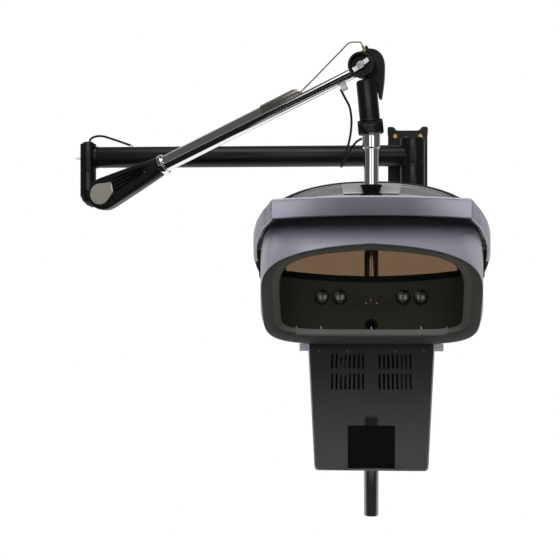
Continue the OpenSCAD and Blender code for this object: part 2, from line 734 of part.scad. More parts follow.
module nozzle_domes() {
    color("#9ea3a8") at_floor() for (x = nozzle_x) translate([x, -inner_y, nozzle_z]) {
        rotate([90, 0, 0]) difference() {
            rotate_extrude() union() {
                intersection() {
                    translate([0, -8]) circle(r = 18);
                    square([nozzle_r, 20]);
                }
                translate([0, -wall_t]) square([nozzle_r - 2, wall_t]);
            }
            translate([0, 0, -wall_t - 1]) cylinder(r = 6, h = 10);
        }
    }
}

module indicator_lenses() {
    color("#d98f5a") at_floor() for (p = [[-11, 85.4], [11.5, 85.4], [-1, 92]])
        translate([p[0], 0, p[1]]) level_pin(1.6, -inner_y - 1, -inner_y);
}

module steam_outlet() {
    color("#0b0b0b") at_floor() translate([0, 0, outlet_z]) difference() {
        union() {
            level_pin(12, -inner_y - 3, -inner_y + 24);
            level_pin(14, -inner_y - 3, -inner_y);
        }
        level_pin(9.5, -inner_y - 4, -inner_y + 20);
    }
}

// Rear cover, light, with its dark rear frame and rear window

rear_win = [hood_half - 25, 160, 262, 60];
function window_oval(t) = oval(rear_win[0] + t, rear_win[1], rear_win[2] + t, rear_win[3] - t, 2.6, 3.5);

module rear_cover() {
    color("#a9aaa8") at_floor() difference() {
        loft(grown(cover_rings, 0));
        loft(moved(grown(cover_rings, shell_t), -1, -shell_t));
        translate([0, 0, crest_h - 60]) cylinder(r = pole_r + 8.2, h = 100);
        loft([[rear_y - 60, window_oval(-6)], [rear_y + 20, window_oval(-6)]]);
        translate([0, 0, -10]) cylinder(r = pole_r + 0.3, h = 60);
        for (x = [-1, 1]) for (k = [0:3]) translate([x * 116 - 40, -90 + 9 * k, 0])
            translate([0, 0, -1]) cube([80, 3.5, 10]);
    }
}

module rear_window() {
    color("#8a6f55", 0.5) at_floor() loft([[rear_y - shell_t - 3, window_oval(2)], [rear_y - shell_t, window_oval(2)]]);
}

frame_half = hood_half + 39;
function frame_outline(t) = oval(frame_half + t, 214, crest_h + 3 + t, 70 - t, 2.3, 2.5);
module rear_frame() {
    color("#161617") at_floor() difference() {
        loft([[46, frame_outline(-3)], [50, frame_outline(0)], [62, frame_outline(0)], [68, frame_outline(-4)]]);
        loft(grown(cover_rings, -0.3));
    }
}

// Handle band: a wall that follows the hood in plan, cut to a strip that falls to the rear

band_plan = [[band_half, -band_y], [band_half + 24, -band_y + 50], [band_half + 40, -band_y + 95],
    [band_half + 49, -band_y + 135], [band_half + 50, -band_y + 180]];
band_top = band_low + band_h;
band_arch = 7;
arch_r = (band_half * band_half + band_arch * band_arch) / (2 * band_arch);
band_side = [[-band_y - 1, band_low], [-band_y, band_low], [-band_y + 50, band_low - 18],
    [-band_y + 95, band_low - 42], [-band_y + 135, band_low - 66], [-band_y + 168, band_low - 84],
    [-band_y + 182, band_low - 78], [-band_y + 182, band_low - 60], [-band_y + 165, band_low - 50],
    [-band_y + 135, band_low - 26], [-band_y + 95, band_low], [-band_y + 50, band_low + 20],
    [-band_y, band_top], [-band_y - 1, band_top]];
function mirrored(p) = concat(p, [for (i = [len(p) - 1:-1:0]) [-p[i][0], p[i][1]]]);
function inset(p, t) = [for (i = [0:len(p) - 1]) let (a = p[max(i - 1, 0)], b = p[min(i + 1, len(p) - 1)],
    d = unit([b[0] - a[0], b[1] - a[1]])) i == 0 ? [p[0][0] - t * 0.66, p[0][1] + t] : p[i] + t * [-d[1], d[0]]];

module handle_band() {
    color("#85858f") at_floor() intersection() {
        difference() {
            translate([0, 0, 100]) linear_extrude(300) polygon(mirrored(band_plan));
            translate([0, 0, 99]) linear_extrude(302)
                polygon(mirrored(concat(inset(band_plan, band_t), [[band_half + 50 - band_t, -band_y + 200]])));
        }
        translate([-400, 0, 0]) rotate([90, 0, 90]) linear_extrude(800) polygon(band_side);
        difference() {
            translate([0, 60, band_top + band_arch - arch_r]) rotate([90, 0, 0]) cylinder(r = arch_r, h = 400, $fn = 360);
            translate([0, -band_y + band_t + 1, band_low + band_arch - arch_r]) rotate([90, 0, 0])
                cylinder(r = arch_r, h = 60, $fn = 360);
        }
    }
}

// The band's ends sit on brackets that stand out of the cover's sides

bracket_x = band_half + 26;
module band_brackets() {
    color("#131314") at_floor() difference() {
        union() {
            for (x = [-1, 1]) hull() {
                translate([x * bracket_x, -26, band_low - 68]) rotate([0, 90, 0])
                    cylinder(r = 20, h = 36, center = true, $fn = 32);
                translate([x * bracket_x, -10, band_low - 96]) rotate([0, 90, 0])
                    cylinder(r = 24, h = 36, center = true, $fn = 32);
            }
        }
        loft(grown(cover_rings, -0.02));
        translate([0, 0, 99]) linear_extrude(302) difference() {
            translate([-400, -200]) square([800, 400]);
            polygon(mirrored(concat(inset(band_plan, band_t + 0.02), [[band_half + 50 - band_t, -band_y + 260]])));
        }
    }
}

// Box below the hood

module box_solid(t, y0, y1) {
    z0 = box_low + t;
    k = (box_half - box_low_half) / box_h;
    w = box_low_half - t;
    translate([0, y1, 0]) rotate([90, 0, 0]) linear_extrude(y1 - y0) union() {
        polygon([[-box_half + t, box_top], [-w - k * 8, z0 + 8], [-w + 8, z0 + 8], [w - 8, z0 + 8],
            [w + k * 8, z0 + 8], [box_half - t, box_top]]);
        translate([-w + 8, z0]) square([2 * w - 16, 8.01]);
        for (x = [-1, 1]) translate([x * (w - 8), z0 + 8]) circle(r = 8);
    }
}

module box_housing() {
    color("#77777f") at_floor() difference() {
        union() {
            box_solid(0, -box_y + 2, box_rear);
            for (x = [-1, 1]) translate([x * (box_half + 8) - 10, -box_y + 2, box_top - 15]) cube([20, 26, 15]);
        }
        box_solid(box_wall, -box_y, box_rear - box_wall);
        translate([0, 0, box_low - 10]) cylinder(r = pole_r + 0.3, h = 30);
        for (x = [-1, 1]) for (k = [0:4]) translate([x * (76 + 9 * k) - 2.5, box_rear - 10, box_top - 165])
            cube([5, 20, 45]);
        translate([-62, box_rear - 1.5, box_top - 225]) cube([124, 10, 120]);
    }
}

hatch_low = box_low + 5;
hatch_top = hatch_low + hatch_h;
slot_rows = [[-37, 30], [-79, 34]];
slot_x = [for (g = [-1, 1]) for (k = [0:slot_count - 1]) g * 50 + slot_pitch * (k - (slot_count - 1) / 2)];
slot_fan = 0.03;
screw_x = [-111, -50.6, 50.6, 111];
module front_panel() {
    color("#1a1a1b") at_floor() difference() {
        union() {
            box_solid(3, -box_y - panel_t + 2, -box_y + 2);
            for (x = [-1, 1]) {
                translate([x * (hatch_half + 4) - 3, hinge_y - barrel_r, hatch_low + 0.4])
                    cube([6, barrel_r + 1.5, 2 * barrel_r]);
                translate([x * (hatch_half - 1) - 5, hinge_y, hinge_z]) rotate([0, 90, 0]) cylinder(r = 1.5, h = 10);
            }
        }
        for (x = slot_x) for (row = slot_rows) translate([x, 0, box_top + row[0]]) rotate([0, -x * slot_fan, 0])
            translate([-slot_w / 2, -box_y - 10, -row[1] / 2]) cube([slot_w, 20, row[1]]);
        difference() {
            translate([-hatch_half - 0.8, -box_y - 10, box_low]) cube([2 * hatch_half + 1.6, 20, hatch_h + 6]);
            for (x = [-1, 1]) translate([x * (hatch_half - 1) - 5, hinge_y, hinge_z]) rotate([0, 90, 0])
                cylinder(r = 1.5, h = 10);
        }
        translate([-latch_half - gap, -box_y - 10, hatch_top]) cube([2 * latch_half + 2 * gap, 10.5, latch_h + 5]);
        for (x = screw_x) translate([x, 0, box_top - 15]) level_pin(2, -box_y - 10, 0);
    }
}

module panel_screws() {
    color("#3c3c3f") at_floor() for (x = screw_x) translate([x, 0, box_top - 15]) {
        level_pin(2, -box_y - 1, -box_y + 10);
        level_pin(3.6, -box_y - 3, -box_y - 1);
    }
}

// Hatch: a cover hinged along its lower edge, held by a sliding latch

hinge_y = -box_y - 2;
hinge_z = hatch_low + 3.2;
barrel_r = 2.8;
module hatch_cover() {
    color("#0f0f10") at_floor() difference() {
        union() {
            translate([-hatch_half, -box_y - 1.5, hatch_low + 0.8]) cube([2 * hatch_half, panel_t, hatch_h - 1.2]);
            for (x = [-1, 1]) translate([x * (hatch_half - 5) - 5, hinge_y, hinge_z]) rotate([0, 90, 0])
                cylinder(r = barrel_r, h = 10);
        }
        for (x = [-1, 1]) translate([x * (hatch_half - 5) - 6, hinge_y, hinge_z]) rotate([0, 90, 0])
            cylinder(r = 1.5 + running, h = 12);
    }
}

module hatch_latch() {
    color("#2b2a22") at_floor() difference() {
        translate([-latch_half, -box_y - 2.5, hatch_top + 0.6]) cube([2 * latch_half, panel_t - 0.3, latch_h - 1]);
        for (k = [0:2]) translate([-latch_half + 3, -box_y - 3, hatch_top + 5 + 4 * k]) cube([2 * latch_half - 6, 1.2, 1.5]);
    }
}

// Inside the box and behind the inner wall

module water_tank() {
    color("#c9d3d6") at_floor() difference() {
        translate([-74, -box_y + 14, box_low + box_wall]) cube([148, 62, 96]);
        translate([-71, -box_y + 17, box_low + box_wall + 3]) cube([142, 56, 94]);
    }
}

module heater() {
    color("#8f8a80") at_floor() translate([-60, -62, box_low + box_wall + 96.3]) difference() {
        cube([50, 40, 60]);
        translate([25, 20, 10]) cylinder(r = 14, h = 60);
    }
}

blower_rise = box_h - box_wall - 133;
module blower() {
    color("#2b2c2e") at_floor() translate([62, -box_y + 30, box_top - blower_rise]) difference() {
        union() {
            level_pin(34, 0, 34);
            cube([34, 34, blower_rise]);
        }
        level_pin(26, -1, 28);
        translate([6, 6, 20]) cube([22, 22, blower_rise]);
    }
}

module pole_clamp() {
    color("#4a4c50") at_floor() difference() {
        union() {
            translate([-50, -26, shell_t + 0.45]) cube([100, 52, 10]);
            translate([-26, -26, shell_t + 0.45]) cube([52, 52, 40]);
        }
        translate([0, 0, -20]) cylinder(r = pole_r, h = 80);
        translate([-1, 0, -20]) cube([2, 60, 80]);
    }
}

module control_board() {
    color("#2f5a3d") at_floor() union() {
        translate([-55, box_rear - box_wall - 12, box_top - 100]) cube([110, 2, 80]);
        for (x = [-45, 45]) for (z = [-90, -30]) translate([x, 0, box_top + z])
            level_pin(3, box_rear - box_wall - 10, box_rear - box_wall);
    }
}

module control_panel() {
    color("#202022") at_floor() difference() {
        translate([-60, box_rear - 1.5, box_top - 223]) cube([120, 4.5, 116]);
        translate([0, 0, box_top - 145]) level_pin(6, box_rear - 3, box_rear + 5);
        for (x = [-30, 30]) translate([x, 0, box_top - 198]) level_pin(8 + gap, box_rear - 3, box_rear + 5);
    }
}

module timer_dial() {
    color("#bcbcc0") at_floor() translate([0, 0, box_top - 145]) difference() {
        union() {
            level_pin(6 - running, box_rear - 1, box_rear + 3.3);
            level_pin(22, box_rear + 3.3, box_rear + 15);
        }
        for (a = [0:30:330]) rotate([0, a, 0]) translate([24, 0, 0]) level_pin(4, box_rear, box_rear + 20);
    }
}

module round_button(x) {
    at_floor() translate([x, 0, box_top - 198]) union() {
        level_pin(8, box_rear + 1, box_rear + 7);
        level_pin(6.5, box_rear + 7, box_rear + 8);
    }
}
module start_button() { color("#5f8f66") round_button(-30); }
module stop_button() { color("#a34a42") round_button(30); }

wall_bracket();
wall_screws();
pivot_spindle();
pivot_sleeve();
sleeve_cap();
arm_tube();
elbow_post();
elbow_cap();
elbow_lead();
elbow_grommets();
elbow_knuckle();
elbow_spindle();
cast_socket();
knuckle_cap();
tilt_pin();
ferrule();
lift_tube();
saddle();
balance_spring();
head_boss();
lead_clip();
link_rod();
rod_eye();
head_carrier();
head_bolt();
lever_plate();
carrier_collar();
head_lead();
pole_sleeve();
pole();
pole_collar();
pole_tip();
hood_shell();
mouth_rim();
handle_band();
band_brackets();
hood_liner();
inner_wall();
sight_window();
window_seal();
nozzle_domes();
indicator_lenses();
steam_outlet();
rear_cover();
rear_frame();
rear_window();
box_housing();
front_panel();
panel_screws();
water_tank();
heater();
blower();
pole_clamp();
control_board();
control_panel();
hatch_cover();
hatch_latch();
timer_dial();
start_button();
stop_button();
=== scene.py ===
# %% [markdown]
# # A hair steamer on a jointed wall arm
# The rigid model comes packed from CAD. Blender adds what the eye sees: smooth shells,
# soft edges, leads and finishes. The frame is loaded first, because every piece rides on it.

# %% Load the frame
import math
import bpy, bmesh
from mathutils import Matrix, Vector


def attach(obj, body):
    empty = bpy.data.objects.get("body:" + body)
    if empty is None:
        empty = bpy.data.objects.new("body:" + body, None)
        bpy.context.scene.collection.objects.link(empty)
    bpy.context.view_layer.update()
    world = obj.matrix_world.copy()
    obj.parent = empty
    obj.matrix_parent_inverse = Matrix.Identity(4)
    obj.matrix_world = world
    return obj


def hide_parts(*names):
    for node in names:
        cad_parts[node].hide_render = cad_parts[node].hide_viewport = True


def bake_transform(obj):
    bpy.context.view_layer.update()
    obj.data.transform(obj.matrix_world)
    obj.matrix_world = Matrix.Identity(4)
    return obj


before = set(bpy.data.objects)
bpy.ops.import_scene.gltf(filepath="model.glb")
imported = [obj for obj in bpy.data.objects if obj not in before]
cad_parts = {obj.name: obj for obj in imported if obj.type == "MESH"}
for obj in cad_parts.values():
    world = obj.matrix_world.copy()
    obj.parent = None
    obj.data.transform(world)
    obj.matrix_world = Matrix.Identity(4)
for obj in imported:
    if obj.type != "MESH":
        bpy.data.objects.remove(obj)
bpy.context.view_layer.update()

# %% [markdown]
# The CAD gives sizes in millimetres, and each part of the steamer has its own axes: the elbow
# turns about an upright line, the lift arm lies along a slope, the hood hangs level from the
# pole. Matrices keep those axes, so each piece is drawn in its own.

# %% Sizes and axes
mm = 0.001
lift_az, lift_slope, lift_len = 14.85, 23.5, 681.0
elbow_at = Vector((9.5 - 770, -75, 0))
knuckle_reach, lift_side, tilt_drop = 61.6, 40.6, 75.0
pole_ahead, pole_back, pole_drop, hood_drop = 20, 5, 151, 456

def turn(deg, axis):
    return Matrix.Rotation(math.radians(deg), 4, axis)

def move(x, y, z):
    return Matrix.Translation((x, y, z))

to_metres = Matrix.Scale(mm, 4)
at_wall = Matrix.Identity(4)
at_elbow = move(*elbow_at) @ turn(-lift_az, "Z")
at_lift = at_elbow @ move(knuckle_reach, -lift_side, -tilt_drop) @ turn(-lift_slope, "Y")
head_at = at_lift @ Vector((lift_len, 0, 0))
at_head = move(*head_at) @ turn(-lift_az, "Z")
pole_at = at_head @ Vector((pole_ahead, pole_back, -pole_drop))
floor_z = pole_at.z - hood_drop
at_floor = move(pole_at.x, pole_at.y, floor_z)
print("head", [round(v, 1) for v in head_at], "hood floor", round(floor_z, 1))

# %% [markdown]
# The photograph was taken from far away with the camera level, so the hood shows almost no
# distortion. A long lens at 3.3 metres, turned a little to the left, gives the same view.

# %% Camera
camera_at, camera_turn, lens_mm, sensor_mm = (-0.088, -3.3, -0.275), 3.8, 87.94, 36

def link(name, data):
    obj = bpy.data.objects.new(name, data)
    bpy.context.scene.collection.objects.link(obj)
    return obj

camera = link("camera", bpy.data.cameras.new("camera"))
camera.location = camera_at
camera.rotation_euler = (math.radians(90), 0, math.radians(camera_turn))
camera.data.lens, camera.data.sensor_width = lens_mm, sensor_mm
bpy.context.scene.camera = camera
print("camera at", tuple(round(v, 3) for v in camera.location))

# %% [markdown]
# Every piece below is a mesh made from rows of points. `grid_faces` joins neighbouring rows
# with quads, `add_piece` takes the points from their own axes to the room's, in metres, and
# shades by angle, so that curves are smooth and true edges stay crisp. The helpers after it
# name the usual forms: closed rows, open sheets, turned pieces, tubes and prisms.

# %% Mesh helpers
def soft_bevel(obj, width, angle):
    bevel = obj.modifiers.new("soft edges", "BEVEL")
    bevel.width, bevel.segments, bevel.limit_method = width * mm, 2, "ANGLE"
    bevel.angle_limit = math.radians(angle)
    return bevel

def finish_edges(obj, angle=32, soft=0.0):
    if soft:
        soft_bevel(obj, soft, angle).harden_normals = True
    obj.data.shade_smooth()
    bm = bmesh.new()
    bm.from_mesh(obj.data)
    for e in bm.edges:
        e.smooth = len(e.link_faces) == 2 and e.calc_face_angle(0) < math.radians(angle)
    bm.to_mesh(obj.data)
    bm.free()

def add_piece(name, points, faces, axes, material, angle=32, soft=0.0):
    mesh = bpy.data.meshes.new(name)
    whole = to_metres @ axes
    mesh.from_pydata([whole @ Vector(p) for p in points], [], faces)
    mesh.validate()
    bm = bmesh.new()
    bm.from_mesh(mesh)
    bmesh.ops.remove_doubles(bm, verts=bm.verts, dist=1e-6)
    bmesh.ops.recalc_face_normals(bm, faces=bm.faces)
    bm.to_mesh(mesh)
    bm.free()
    obj = link(name, mesh)
    mesh.materials.append(material)
    finish_edges(obj, angle, soft)
    return obj

def grid_faces(rows, per_row, wrap=True):
    out = []
    for r in range(rows - 1):
        a, b = r * per_row, (r + 1) * per_row
        for i in range(per_row if wrap else per_row - 1):
            j = (i + 1) % per_row
            out.append((a + i, a + j, b + j, b + i))
    return out

def rows_piece(name, rows, axes, material, cap=False, loop=False, **more):
    n, last = len(rows[0]), (len(rows) - 1) * len(rows[0])
    faces = grid_faces(len(rows), n)
    if loop:
        faces += [(last + i, last + (i + 1) % n, (i + 1) % n, i) for i in range(n)]
    if cap:
        faces += [tuple(range(n)), tuple(range(last, last + n))]
    return add_piece(name, [p for row in rows for p in row], faces, axes, material, **more)

def sheet_piece(name, rows, axes, material):
    faces = grid_faces(len(rows), len(rows[0]), wrap=False)
    return add_piece(name, [p for row in rows for p in row], faces, axes, material)

def circle(count):
    return [2 * math.pi * i / count for i in range(count)]

def turned(name, profile, axes, material, sides=64, **more):
    rows = [[(r * math.cos(a), r * math.sin(a), z) for a in circle(sides)] for r, z in profile]
    return rows_piece(name, rows, axes, material, **more)

def eased(points, steps):
    out = []
    for i in range(len(points) - 1):
        a, b = Vector(points[max(i - 1, 0)]), Vector(points[i])
        c, d = Vector(points[i + 1]), Vector(points[min(i + 2, len(points) - 1)])
        for k in range(steps):
            t = k / steps
            out.append(0.5 * (2 * b + (c - a) * t + (2 * a - 5 * b + 4 * c - d) * t * t
                              + (3 * b - a - 3 * c + d) * t ** 3))
    return out + [Vector(points[-1])]

def tube(name, path, radius, axes, material, sides=12):
    side, rows = None, []
    for i, p in enumerate(path):
        ahead = (path[min(i + 1, len(path) - 1)] - path[max(i - 1, 0)]).normalized()
        side = ahead.orthogonal() if side is None else side - ahead * side.dot(ahead)
        side.normalize()
        up = ahead.cross(side)
        rows.append([tuple(p + radius * (side * math.cos(a) + up * math.sin(a))) for a in circle(sides)])
    return rows_piece(name, rows, axes, material, cap=True)

def pin(name, start, end, radius, axes, material):
    return tube(name, [Vector(start), Vector(end)], radius, axes, material)

def at_depth(outline, y):
    return [(x, y, z) for x, z in outline]

def prism(name, outline, y0, y1, axes, material, **more):
    rows = [at_depth(outline, y) for y in (y0, y1)]
    return rows_piece(name, rows, axes, material, cap=True, **more)

print("helpers ready")

# %% [markdown]
# A finish is more than one colour. Each one here mixes two close tones with soft noise,
# lets the roughness wander a little, and adds a fine bump where the real skin has a grain.
# Steady values are set on the shader's own sockets, so the finish can be read elsewhere. The
# last argument is painted shade: it mixes a near-black skin into a finish along one axis, as
# under the band and at the top of the panel.

# %% Finishes
def new_material(name, **values):
    made = bpy.data.materials.new(name)
    made.use_nodes = True
    nodes, links = made.node_tree.nodes, made.node_tree.links
    shader = nodes["Principled BSDF"]
    for socket, value in values.items():
        shader.inputs[socket.replace("_", " ")].default_value = value
    return made, nodes, links, shader

def ramp(nodes, links, source, low, high, start=0.0, end=1.0):
    made = nodes.new("ShaderNodeMapRange")
    made.interpolation_type = "SMOOTHSTEP"
    for socket, value in zip(("From Min", "From Max", "To Min", "To Max"), (start, end, low, high)):
        made.inputs[socket].default_value = value
    links.new(source, made.inputs["Value"])
    return made.outputs["Result"]

def noise(nodes, links, where, size, detail):
    made = nodes.new("ShaderNodeTexNoise")
    made.inputs["Scale"].default_value = size
    made.inputs["Detail"].default_value = detail
    links.new(where, made.inputs["Vector"])
    return made.outputs["Fac"]

def mix_tones(nodes, links, share, low, high):
    made = nodes.new("ShaderNodeMix")
    made.data_type = "RGBA"
    links.new(share, made.inputs[0])
    made.inputs[6].default_value = (*low, 1)
    made.inputs[7].default_value = (*high, 1)
    return made

def mix_skins(nodes, links, share, first, second):
    made = nodes.new("ShaderNodeMixShader")
    for k, source in enumerate((share, first, second)):
        links.new(source, made.inputs[k])
    links.new(made.outputs["Shader"], nodes["Material Output"].inputs["Surface"])

def combine(nodes, links, operation, first, second):
    made = nodes.new("ShaderNodeMath")
    made.operation = operation
    links.new(first, made.inputs[0])
    links.new(second, made.inputs[1])
    return made.outputs["Value"]

cloud_size, cloud_detail, grain_detail, grain_deep, rough_spread = 14, 4, 3, 0.0004, 0.15
painted_shade_black = (0.003, 0.003, 0.003, 1)

def finish(name, tone, rough=0.4, metal=0.0, grain=0.0, size=900.0, spread=0.12,
           stretch=(1, 1, 1), shine=0.5, painted_shade=None):
    made, nodes, links, shader = new_material(
        name, Base_Color=(*tone, 1), Metallic=metal, Roughness=rough, Specular_IOR_Level=shine)
    where = nodes.new("ShaderNodeTexCoord").outputs["Object"]
    scale = nodes.new("ShaderNodeMapping")
    scale.inputs["Scale"].default_value = stretch
    links.new(where, scale.inputs["Vector"])
    cloud = noise(nodes, links, scale.outputs["Vector"], cloud_size, cloud_detail)
    low, high = [v * (1 - spread) for v in tone], [min(1, v * (1 + spread)) for v in tone]
    links.new(mix_tones(nodes, links, cloud, low, high).outputs[2], shader.inputs["Base Color"])
    # Painted shade: a near-black diffuse skin is mixed in along one axis.
    if painted_shade:
        axis, *levels = painted_shade
        split = nodes.new("ShaderNodeSeparateXYZ")
        links.new(where, split.inputs["Vector"])
        dark = nodes.new("ShaderNodeBsdfDiffuse")
        dark.inputs["Color"].default_value = painted_shade_black
        mix_skins(nodes, links, ramp(nodes, links, split.outputs[axis], *levels),
                  dark.outputs["BSDF"], shader.outputs["BSDF"])
    smooth, dull = rough * (1 - rough_spread), min(1, rough * (1 + rough_spread))
    links.new(ramp(nodes, links, cloud, smooth, dull), shader.inputs["Roughness"])
    if grain:
        bump = nodes.new("ShaderNodeBump")
        bump.inputs["Strength"].default_value = grain
        bump.inputs["Distance"].default_value = grain_deep
        links.new(noise(nodes, links, scale.outputs["Vector"], size, grain_detail), bump.inputs["Height"])
        links.new(bump.outputs["Normal"], shader.inputs["Normal"])
    return made

cast_black = finish("cast black", (0.0035, 0.0033, 0.0038), 0.3, grain=0.2, size=700, shine=0.3)
socket_black = finish("socket black", (0.0035, 0.0033, 0.0038), 0.4, grain=0.12, size=900, shine=0.35)
tube_black = finish("tube black", (0.004, 0.0036, 0.0034), 0.38, grain=0.06, size=1600, shine=0.26)
yellow_zinc = finish("yellow zinc", (0.62, 0.42, 0.16), 0.34, 1.0, grain=0.1)
brown_steel = finish("brown steel", (0.3, 0.2, 0.11), 0.35, 1.0, grain=0.1)
plain_steel = finish("plain steel", (0.6, 0.6, 0.6), 0.28, 1.0, grain=0.08, stretch=(1, 1, 12))
dark_steel = finish("dark steel", (0.03, 0.03, 0.03), 0.45, 0.6, grain=0.05)
tail_steel = finish("tail steel", (0.2, 0.2, 0.2), 0.24, 0.9, spread=0.03)
nickel = finish("nickel", (0.3, 0.29, 0.255), 0.5, 0.6, grain=0.15, size=1200)
bright_steel = finish("bright steel", (0.8, 0.8, 0.82), 0.35, 0.5, grain=0.05)
chrome = finish("chrome", (0.8, 0.8, 0.82), 0.07, 1.0, spread=0.03)
saddle_steel = finish("saddle steel", (0.16, 0.155, 0.135), 0.3, 0.85, spread=0.05)
lead_skin = finish("lead skin", (0.004, 0.004, 0.004), 0.5, grain=0.2, size=1500, shine=0.3)
pale_moulding = finish("pale moulding", (0.5, 0.48, 0.45), 0.6, grain=0.2)
pearl = finish("pearl lacquer", (0.3, 0.295, 0.35), 0.13, 0.6, spread=0.03)
# Painted shade: the bell's lacquer goes near black towards its top, where the band shades it.
bell_pearl_painted_shade = finish("bell lacquer painted shade", (0.34, 0.335, 0.4), 0.24, 0.5, spread=0.03,
                    painted_shade=("Z", 1.0, 0.02, -0.212, -0.16))
rim_grey = finish("rim moulding", (0.036, 0.036, 0.035), 0.45, grain=0.3, size=1400, shine=0.4)
# Painted highlight: the sill is a lighter copy of the rim's moulding where the lip catches the light.
sill_painted_highlight = finish("sill painted highlight", (0.085, 0.085, 0.08), 0.4, grain=0.2, size=1400, shine=0.4)
# Painted light: the bevel is an olive lighter than the rim it lies on.
bevel_olive_painted_light = finish("bevel moulding painted light", (0.06, 0.057, 0.045), 0.45, grain=0.2, size=1400, shine=0.4)
liner_grey = finish("liner moulding", (0.09, 0.085, 0.066), 0.5, grain=0.35, size=1400, shine=0.3)
wall_dark = finish("inner wall", (0.05, 0.046, 0.03), 0.5, grain=0.3, size=1400, shine=0.2)
# Painted shade: the cover's lacquer goes near black at its front, under the band.
cover_grey_painted_shade = finish("cover lacquer painted shade", (0.36, 0.355, 0.35), 0.34, 0.2, grain=0.05, size=1800,
                    painted_shade=("Y", 0.02, 1.0, -0.33, -0.305))
# Painted shade: the recess sheets are darker than the cover, and darker still low down, so the cover looks
# sunk.
recess_painted_shade = finish("recess painted shade", (0.15, 0.145, 0.145), 0.36, grain=0.1, size=1800,
                     painted_shade=("Z", 0.45, 1.0, -0.112, -0.082))
frame_black = finish("frame black", (0.008, 0.008, 0.008), 0.35, grain=0.3, size=1200, shine=0.3)
seal_black = finish("seal rubber", (0.003, 0.003, 0.003), 0.7, grain=0.2, shine=0.2)
hatch_black = finish("hatch moulding", (0.002, 0.002, 0.002), 0.6, grain=0.3, size=1300, shine=0.1)
# Painted light and shade: the panel is lighter low down and goes darker towards its top.
panel_black_painted_shade = finish("panel moulding painted shade", (0.05, 0.05, 0.05), 0.5, grain=0.45, size=1300, shine=0.25,
                     painted_shade=("Z", 1.0, 0.28, -0.67, -0.42))
inner_black = finish("inner moulding", (0.012, 0.012, 0.012), 0.5, grain=0.3, size=1300)
olive_tab = finish("olive tab", (0.007, 0.007, 0.005), 0.55, grain=0.3, size=1300, shine=0.2)
amber = finish("amber lens", (0.9, 0.6, 0.38), 0.3, grain=0.05)
tank_skin = finish("tank plastic", (0.03, 0.035, 0.04), 0.45, grain=0.1)
cast_alloy = finish("cast alloy", (0.38, 0.38, 0.39), 0.5, 0.9, grain=0.4, size=500)
board_green = finish("board lacquer", (0.008, 0.03, 0.014), 0.5, grain=0.1)
knob_grey = finish("knob moulding", (0.45, 0.45, 0.47), 0.45, grain=0.2)
start_green = finish("start button", (0.12, 0.3, 0.14), 0.4, grain=0.1)
stop_red = finish("stop button", (0.45, 0.07, 0.05), 0.4, grain=0.1)
print("materials with the CAD's own", len(bpy.data.materials))

# %% [markdown]
# The sight windows are brown clear plastic. Real glass shading would need many light
# bounces through two panes, so a tinted transparent skin with a little gloss is used: what
# is behind shows through in brown, and the pane still catches the light.

# %% Brown window plastic
def window_plastic():
    made, nodes, links, shader = new_material(
        "brown clear", Base_Color=(0.46, 0.36, 0.27, 1), Roughness=0.08)
    through = nodes.new("ShaderNodeBsdfTransparent")
    through.inputs["Color"].default_value = (0.66, 0.59, 0.52, 1)
    gloss = nodes.new("ShaderNodeFresnel")
    gloss.inputs["IOR"].default_value = 1.3
    haze = nodes.new("ShaderNodeTexNoise")
    haze.inputs["Scale"].default_value = 30
    level = nodes.new("ShaderNodeMapRange")
    level.inputs["To Min"].default_value = 0.02
    level.inputs["To Max"].default_value = 0.06
    links.new(haze.outputs["Fac"], level.inputs["Value"])
    amount = combine(nodes, links, "ADD", gloss.outputs["Fac"], level.outputs["Result"])
    mix_skins(nodes, links, amount, through.outputs["BSDF"], shader.outputs["BSDF"])
    return made

brown_clear = window_plastic()
print("window plastic made")

# %% [markdown]
# Two leads show. One jumps from the elbow's post into the wall arm. The other leaves a clip
# under the lift arm, hangs in a loop in front of the wall arm and climbs to the head's
# collar. Both are swept round tubes along eased points, measured so that their length is real.

# %% Leads
lead_r, lead_sides, post_top, clip_back = 2.6, 14, 49, 60

def route(start, steps):
    return [tuple(a + b for a, b in zip(start, step)) for step in steps]

elbow_points = route((elbow_at.x, elbow_at.y, post_top), [
    (4, 0, 5.15), (4.5, 0, 10), (10, -0.5, 15), (21, -1, 18.5), (37, -2, 18), (60, -2, 11), (86, -1, 2),
    (102, 0, -3.5)])
head_points = route(at_lift @ Vector((lift_len - clip_back, 0, 0)), [
    (6, -2, -27), (9, -2, -32), (15, -2, -44), (26, -2, -66), (30, -1, -92), (29, 0, -118), (24, 1, -146),
    (16, 4, -170), (9, 12, -188), (7, 26, -195), (12, 40, -186), (22, 46, -166), (32, 45, -149)])
head_points += route(pole_at, [(-33, 54, -11.5), (-24, 45, -7), (-16, 33, -5), (-10, 22, -3.5)])

def lead_piece(name, points, node):
    path = eased(points, 8)
    piece = tube(name, path, lead_r, at_wall, lead_skin, sides=lead_sides)
    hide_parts(node)
    return piece

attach(lead_piece("elbow_jumper", elbow_points, "elbow_lead"), "wall_arm")
hanging_lead = lead_piece("hanging_lead", head_points, "head_lead")
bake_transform(hanging_lead)

# %% [markdown]
# The hood is a stretched bell. Seen from the front each section is an oval with square
# lower corners, and it grows as far back as the crest. Each row of the cover's table gives
# how far back a section lies, its widest level, its top, its half width and how square its
# shoulders are. The mouth lies in a plane that leans forward at the top, so it looks down.

